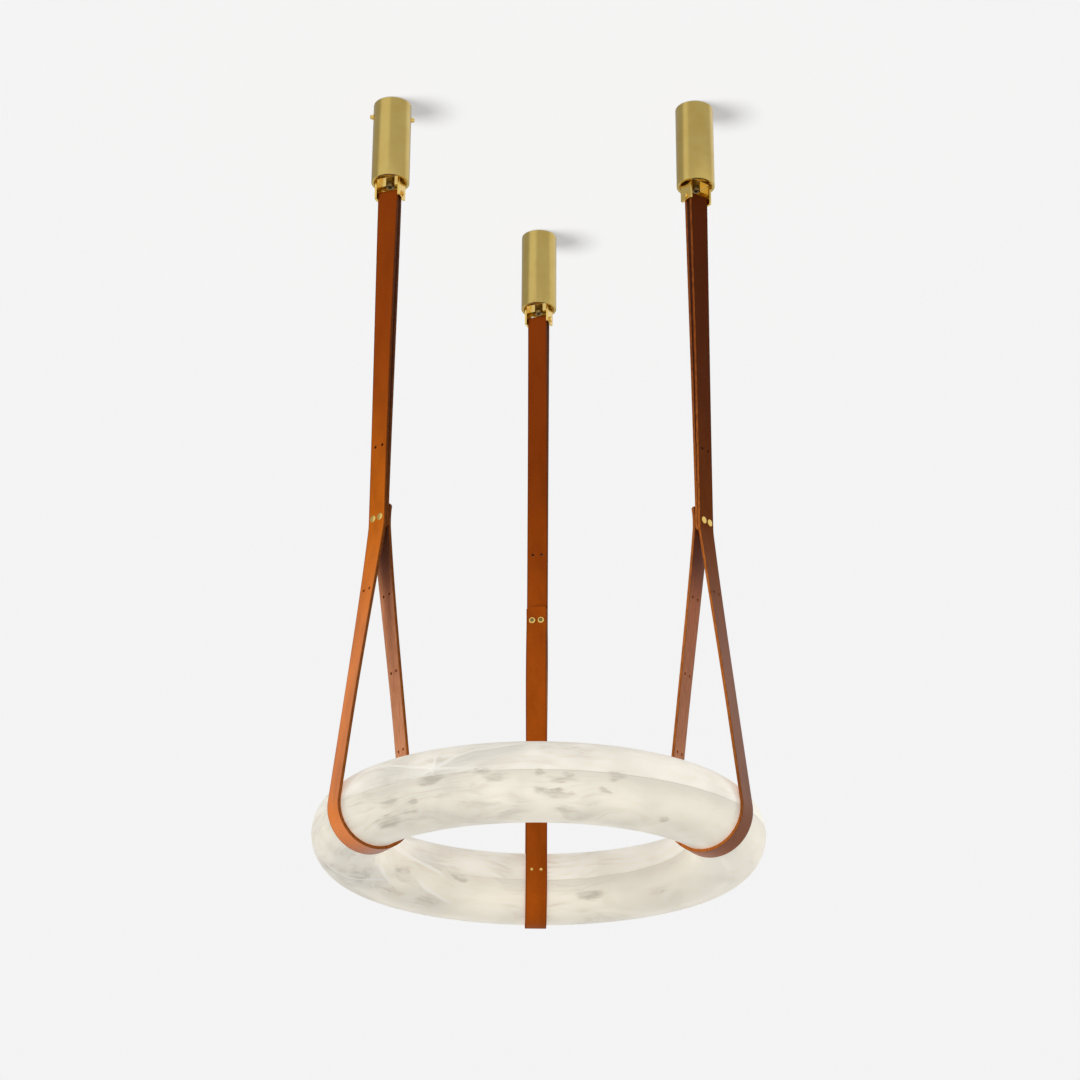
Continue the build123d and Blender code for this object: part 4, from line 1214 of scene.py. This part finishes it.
post_outline = np.vstack([
    [(POST_RADIUS - 0.3 * MM, -STACK_HALF), (POST_RADIUS, 0.3 * MM - STACK_HALF), (POST_RADIUS, STACK_HALF)],
    dome(RIVET_RADIUS, STACK_HALF, 0.45 * MM, RIVET_HEIGHT),
])
key_socket = hexagon(KEY_WIDTH, RIVET_SEGMENTS)
screw_rows = [
    POST_RADIUS * 0.6,
    POST_RADIUS * 0.66,
    POST_RADIUS * 0.66,
    RIVET_RADIUS - 0.15 * MM,
    RIVET_RADIUS,
    RIVET_RADIUS,
    RIVET_RADIUS - 0.25 * MM,
    RIVET_RADIUS - 0.8 * MM,
    RIVET_RADIUS - 1.5 * MM,
    key_socket * 1.06,
    key_socket,
    key_socket * 0.999,
    key_socket * 0.5,
]
screw_radius = rows_of(screw_rows, RIVET_SEGMENTS)
screw_height = STACK_HALF + MM * np.array([-8, -7.8, 0, 0, 0.15, 0.8, 1.25, 1.62, 1.8, 1.8, 1.65, 0.4, 0.4])
# Finish of each face, in the order of a spindle's faces: the socket's rows and its closing fan get
# the dark brass of painted shade
plain_rows = len(screw_radius) - 1 - SOCKET_ROWS
in_socket = np.repeat([0, 1, 0, 1], RIVET_SEGMENTS * np.array([plain_rows, SOCKET_ROWS, 1, 1]))
for side in SIDES:
    outwards, along_ring, up = station(side, strap_turn(side, JOINT_LEVEL))
    seats = [foot(side, JOINT_LEVEL) + offset * along_ring for offset in HOLE_PAIR]
    axes = np.array([along_ring, up, outwards])
    shape = np.hsplit(post_outline, 2)
    posts = turned_pair(f"brass_rivets_{side}", seats, *shape, axes, POST_SEGMENTS, [BRASS])
    settle(posts, f"strap_{side}", "brass", f"strap_posts_{side}")
    axes = np.array([up, along_ring, -outwards])
    shape = screw_radius, screw_height[:, None]
    finish = [BRASS, SHADED_BRASS]
    screws = turned_pair(f"brass_rivet_screws_{side}", seats, *shape, axes, RIVET_SEGMENTS, finish)
    screws.data.polygons.foreach_set("material_index", np.tile(in_socket, len(seats)))
    settle(screws, f"strap_{side}", "brass", f"strap_screws_{side}")

# %% Studs
STUD_RADIUS, STUD_HEIGHT, STUD_SHANK = 2.25 * MM, 1.2 * MM, 1.4 * MM
STUD_SEGMENTS = 36
stud_run = (STUD_LEVEL - RING_LEVEL - WRAP_RADIUS * sin(LEG_LEAN)) / cos(LEG_LEAN)
stud_reach = WRAP_RADIUS * cos(LEG_LEAN) - stud_run * sin(LEG_LEAN)
stud_outline = np.vstack([
    [(STUD_SHANK - 0.2 * MM, -STRAP_THICKNESS / 2), (STUD_SHANK, 0), (STUD_SHANK, STRAP_THICKNESS / 2)],
    dome(STUD_RADIUS, STRAP_THICKNESS / 2, 0.3 * MM, STUD_HEIGHT),
])
for side in SIDES:
    outwards, along_ring, up = station(side)
    normal = sin(LEG_LEAN) * up - cos(LEG_LEAN) * outwards
    axes = np.array([along_ring, np.cross(normal, along_ring), normal])
    seat = foot(side, STUD_LEVEL) - stud_reach * outwards
    seats = [seat + offset * along_ring for offset in HOLE_PAIR]
    shape = np.hsplit(stud_outline, 2)
    studs = turned_pair(f"brass_studs_{side}", seats, *shape, axes, STUD_SEGMENTS, [BRASS])
    settle(studs, f"strap_{side}", "brass", f"ring_studs_{side}")

# %% [markdown]
# ## Threaded rods
# A threaded steel tube carries the load down each canister and shows when a cover is slid down.
# A thread is a turned surface whose radius depends on height and angle together: the height in
# pitches minus the share of the turn gives the place on the thread's triangle wave.

# %% Threaded rods
ROD_RADIUS, ROD_BORE = 5 * MM, 3.05 * MM
THREAD_PITCH, THREAD_DEPTH = 1 * MM, 0.55 * MM
ROD_SEGMENTS = 24
rod_low, rod_high = (corner.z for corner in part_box("hanger_rod_rear"))
rod_height = np.arange(rod_low, rod_high, THREAD_PITCH / 4)[:, None]
turn_share = np.arange(ROD_SEGMENTS)[None, :] / ROD_SEGMENTS
wave = np.abs(((rod_height / THREAD_PITCH - turn_share) % 1) * 2 - 1)
end_fade = np.clip(np.minimum(rod_height - rod_low, rod_high - rod_height) / (2 * THREAD_PITCH), 0, 1)
thread_radius = ROD_RADIUS - THREAD_DEPTH * (1 - (1 - wave) * end_fade) * np.minimum(1, 0.3 + end_fade)
rod_radius = np.vstack([thread_radius, np.full((2, ROD_SEGMENTS), ROD_BORE)])
rod_rise = np.vstack([rod_height, [[rod_height[-1, 0]], [rod_low]]])
for side in SIDES:
    grid = around(rod_radius, rod_rise, foot(side, 0.0), UPRIGHT, ROD_SEGMENTS)
    faces = [cells(len(rod_rise), ROD_SEGMENTS, wrap_rows=True, wrap_columns=True)]
    rod = piece(f"threaded_rod_{side}", grid.reshape(-1, 3), faces, [STEEL], smooth_angle=radians(50))
    settle(rod, "ceiling_mount", "steel", f"hanger_rod_{side}")

# %% [markdown]
# ## Pieces that keep their own shape
# The plates, nuts, clips, screws and the electrical pieces are right as they are, so they only get
# a finish. The record says which material slot each node has.

# %% Finishes of the carried-over nodes
SLOT_FINISH = {
    "brass": BRASS,
    "steel": STEEL,
    "aluminium": ALUMINIUM,
    "circuit_board": BOARD,
    "rubber": RUBBER,
    "driver_case": DRIVER_CASE,
    "terminal_plastic": NYLON,
    "alabaster": ALABASTER,
    "leather": LEATHER["rear"],
}
slot_of = {row["node"]: row["material_slot"] for row in frame["record"]["subparts"]}
for name, node in frame["nodes"].items():
    node.data.materials.clear()
    node.data.materials.append(SLOT_FINISH[slot_of[name]])
kept = [name for name, node in frame["nodes"].items() if not node.hide_render]
print("kept as they are:", ", ".join(sorted(kept)))

# %% [markdown]
# ## Studio
# The lamp hangs under a pale ceiling, which takes the soft shadow of each canister, above a plain
# pale floor. A key light from the left gives the leather its bright and dark sides. The stone has its
# own light, a wide one from the front and a narrower one from behind each end. One more lamp only
# draws the canisters' shadows on the ceiling, and an even world fills the rest. The background is a
# shade of white that only rays from the camera and rays mirrored by metal see, so it adds no light
# to the object. Two grey cards give the brass darker bands to mirror, as photographers do with
# polished metal.

# %% World and lamps
AMBIENT = 0.26
BACKDROP = 0.90
# Way in which the light travels, strength, and width of the source in degrees
LAMPS = {
    "key": ((0.80, 0.47, 0.25), 2.15, 50),
    "fill": ((0.0, 0.82, 0.57), 2.20, 140),
    "left_fill": ((0.85, -0.45, -0.28), 1.20, 25),
    "right_fill": ((-0.85, -0.45, -0.28), 1.20, 25),
    "ceiling_lamp": ((0.36, 0.09, 0.93), 4.3, 22),
}


def background_rays(shade):
    """1 for rays from the camera, mirrored by metal or passed by glass, and 0 for the rest."""
    kinds = ("Is Camera Ray", "Is Glossy Ray", "Is Transmission Ray")
    rays = [shade.node("ShaderNodeLightPath", output=kind) for kind in kinds]
    return rays[0] + rays[1] + rays[2]


def collection_of(name, members):
    """Collection that lists some objects."""
    made = bpy.data.collections.new(name)
    for member in members:
        made.objects.link(member)
    return made


def lamp(name, receivers, blockers=None):
    """Even, soft light of the table that lights only some objects; the blockers, or else every object,
    throw shadows in it."""
    heading, strength, width = LAMPS[name]
    data = bpy.data.lights.new(name, "SUN")
    data.energy = strength
    data.angle = radians(width)
    made = bpy.data.objects.new(name, data)
    made.rotation_euler = Vector(heading).to_track_quat("-Z", "Y").to_euler()
    made.visible_glossy = False
    bpy.context.scene.collection.objects.link(made)
    made.light_linking.receiver_collection = collection_of(f"lit_by_{name}", receivers)
    if blockers:
        made.light_linking.blocker_collection = collection_of(f"shadows_of_{name}", blockers)


world = bpy.data.worlds.new("studio")
world.use_nodes = True
bpy.context.scene.world = world
world_shade = Shade(world.node_tree)
world_strength = AMBIENT + background_rays(world_shade) * (BACKDROP - AMBIENT)
background = world.node_tree.nodes["Background"]
background.inputs["Color"].default_value = colour(1, 1, 1)
world.node_tree.links.new(world_strength.socket, background.inputs["Strength"])
solids = [made for made in bpy.context.scene.objects if made.type == "MESH"]
ring_halves = [made for made in solids if made.name.startswith("alabaster")]
others = [made for made in solids if made not in ring_halves]
covers = [made for made in solids if made.name.startswith("brass_cover")]
lamp("key", others)
for name in ("fill", "left_fill", "right_fill"):
    lamp(name, ring_halves)
print("world", AMBIENT, "lamps", ", ".join(LAMPS))

# %% Ceiling, floor and cards
CEILING_GAP = 0.5 * MM
CEILING_RADIUS = 1.2
CEILING_TONE = colour(0.60, 0.60, 0.60)
FLOOR_LEVEL = -2.9
FLOOR_RADIUS = 6.0
FLOOR_TONE = colour(0.85, 0.85, 0.85)
# Shares of its radius between which a disc fades out
DISC_FADE = (0.35, 0.97)
# Tone, radius, lowest and highest level in metres, first and last bearing in degrees
CARDS = {
    "front_card": (0.62, 0.75, 0.12, 1.5, -26, 93),
    "back_card": (0.46, 3.0, -1.5, 4.0, 150, 285),
}


def stage_finish(name, tone, radius, seen_share, one_sided):
    """Pale matt surface; camera rays see part of it as an even background. Fades out towards its edge."""
    material = bpy.data.materials.new(name)
    material.use_nodes = True
    tree = material.node_tree
    tree.nodes.remove(tree.nodes["Principled BSDF"])
    shade = Shade(tree)
    matt = shade.node("ShaderNodeBsdfDiffuse", None, {"Color": tone})
    even = shade.node("ShaderNodeEmission", None, {"Color": colour(1, 1, 1), "Strength": BACKDROP})
    clear = shade.node("ShaderNodeBsdfTransparent")
    seen = background_rays(shade) * seen_share
    surface = shade.node("ShaderNodeMixShader", None, {0: seen, 1: matt, 2: even})
    gone = shade.measure("LENGTH", shade.place()).step(radius * DISC_FADE[0], radius * DISC_FADE[1])
    if one_sided:
        behind = shade.node("ShaderNodeNewGeometry", output="Backfacing")
        gone = shade.most([gone, behind])
    painted_lit_tone = shade.node("ShaderNodeMixShader", None, {0: gone, 1: surface, 2: clear})
    tree.links.new(painted_lit_tone.socket, tree.nodes["Material Output"].inputs["Surface"])
    return material


def stage_piece(name, points, faces, level, material):
    """Object of the studio, which is not part of the lamp."""
    mesh = bpy.data.meshes.new(name)
    mesh.from_pydata(points.tolist(), [], faces.tolist())
    mesh.materials.append(material)
    made = bpy.data.objects.new(name, mesh)
    made.location.z = level
    bpy.context.scene.collection.objects.link(made)
    return made


def unseen(made, *kinds):
    """Hide an object from some kinds of rays."""
    for kind in kinds:
        setattr(made, f"visible_{kind}", False)


def disc(radius, facing, count=96):
    """Points and one face of a flat disc that faces up (1) or down (-1)."""
    t = np.linspace(0, 2 * pi, count, endpoint=False) * facing
    return np.column_stack([radius * np.cos(t), radius * np.sin(t), np.zeros(count)]), np.arange(count)[None]


floor_finish = stage_finish("floor", FLOOR_TONE, FLOOR_RADIUS, seen_share=0.6, one_sided=False)
floor = stage_piece("floor", *disc(FLOOR_RADIUS, 1), FLOOR_LEVEL, floor_finish)
unseen(floor, "shadow")
ceiling_finish = stage_finish("ceiling", CEILING_TONE, CEILING_RADIUS, seen_share=0.5, one_sided=True)
ceiling = stage_piece("ceiling", *disc(CEILING_RADIUS, -1), CEILING_GAP, ceiling_finish)
unseen(ceiling, "glossy", "diffuse", "shadow")
lamp("ceiling_lamp", [ceiling], covers)


def card_finish(name, level):
    """Even tone for a card that only mirrored rays see."""
    material = bpy.data.materials.new(name)
    material.use_nodes = True
    tree = material.node_tree
    glow = Shade(tree).node("ShaderNodeEmission", None, {"Strength": level})
    tree.links.new(glow.socket, tree.nodes["Material Output"].inputs["Surface"])
    return material


def reflector(name, tone, radius, low, high, start, end, count=48):
    """Upright card bent round the lamp's axis, from one bearing to another; only mirrored rays see it."""
    bearing = np.linspace(radians(start), radians(end), count)
    line = radius * np.column_stack([np.sin(bearing), -np.cos(bearing)])
    points = np.vstack([np.column_stack([line, np.full(count, level)]) for level in (low, high)])
    card = stage_piece(name, points, cells(2, count), 0.0, card_finish(name, tone))
    unseen(card, "camera", "diffuse", "shadow", "transmission")


for name, row in CARDS.items():
    reflector(name, *row)
print("ceiling, floor and cards placed")
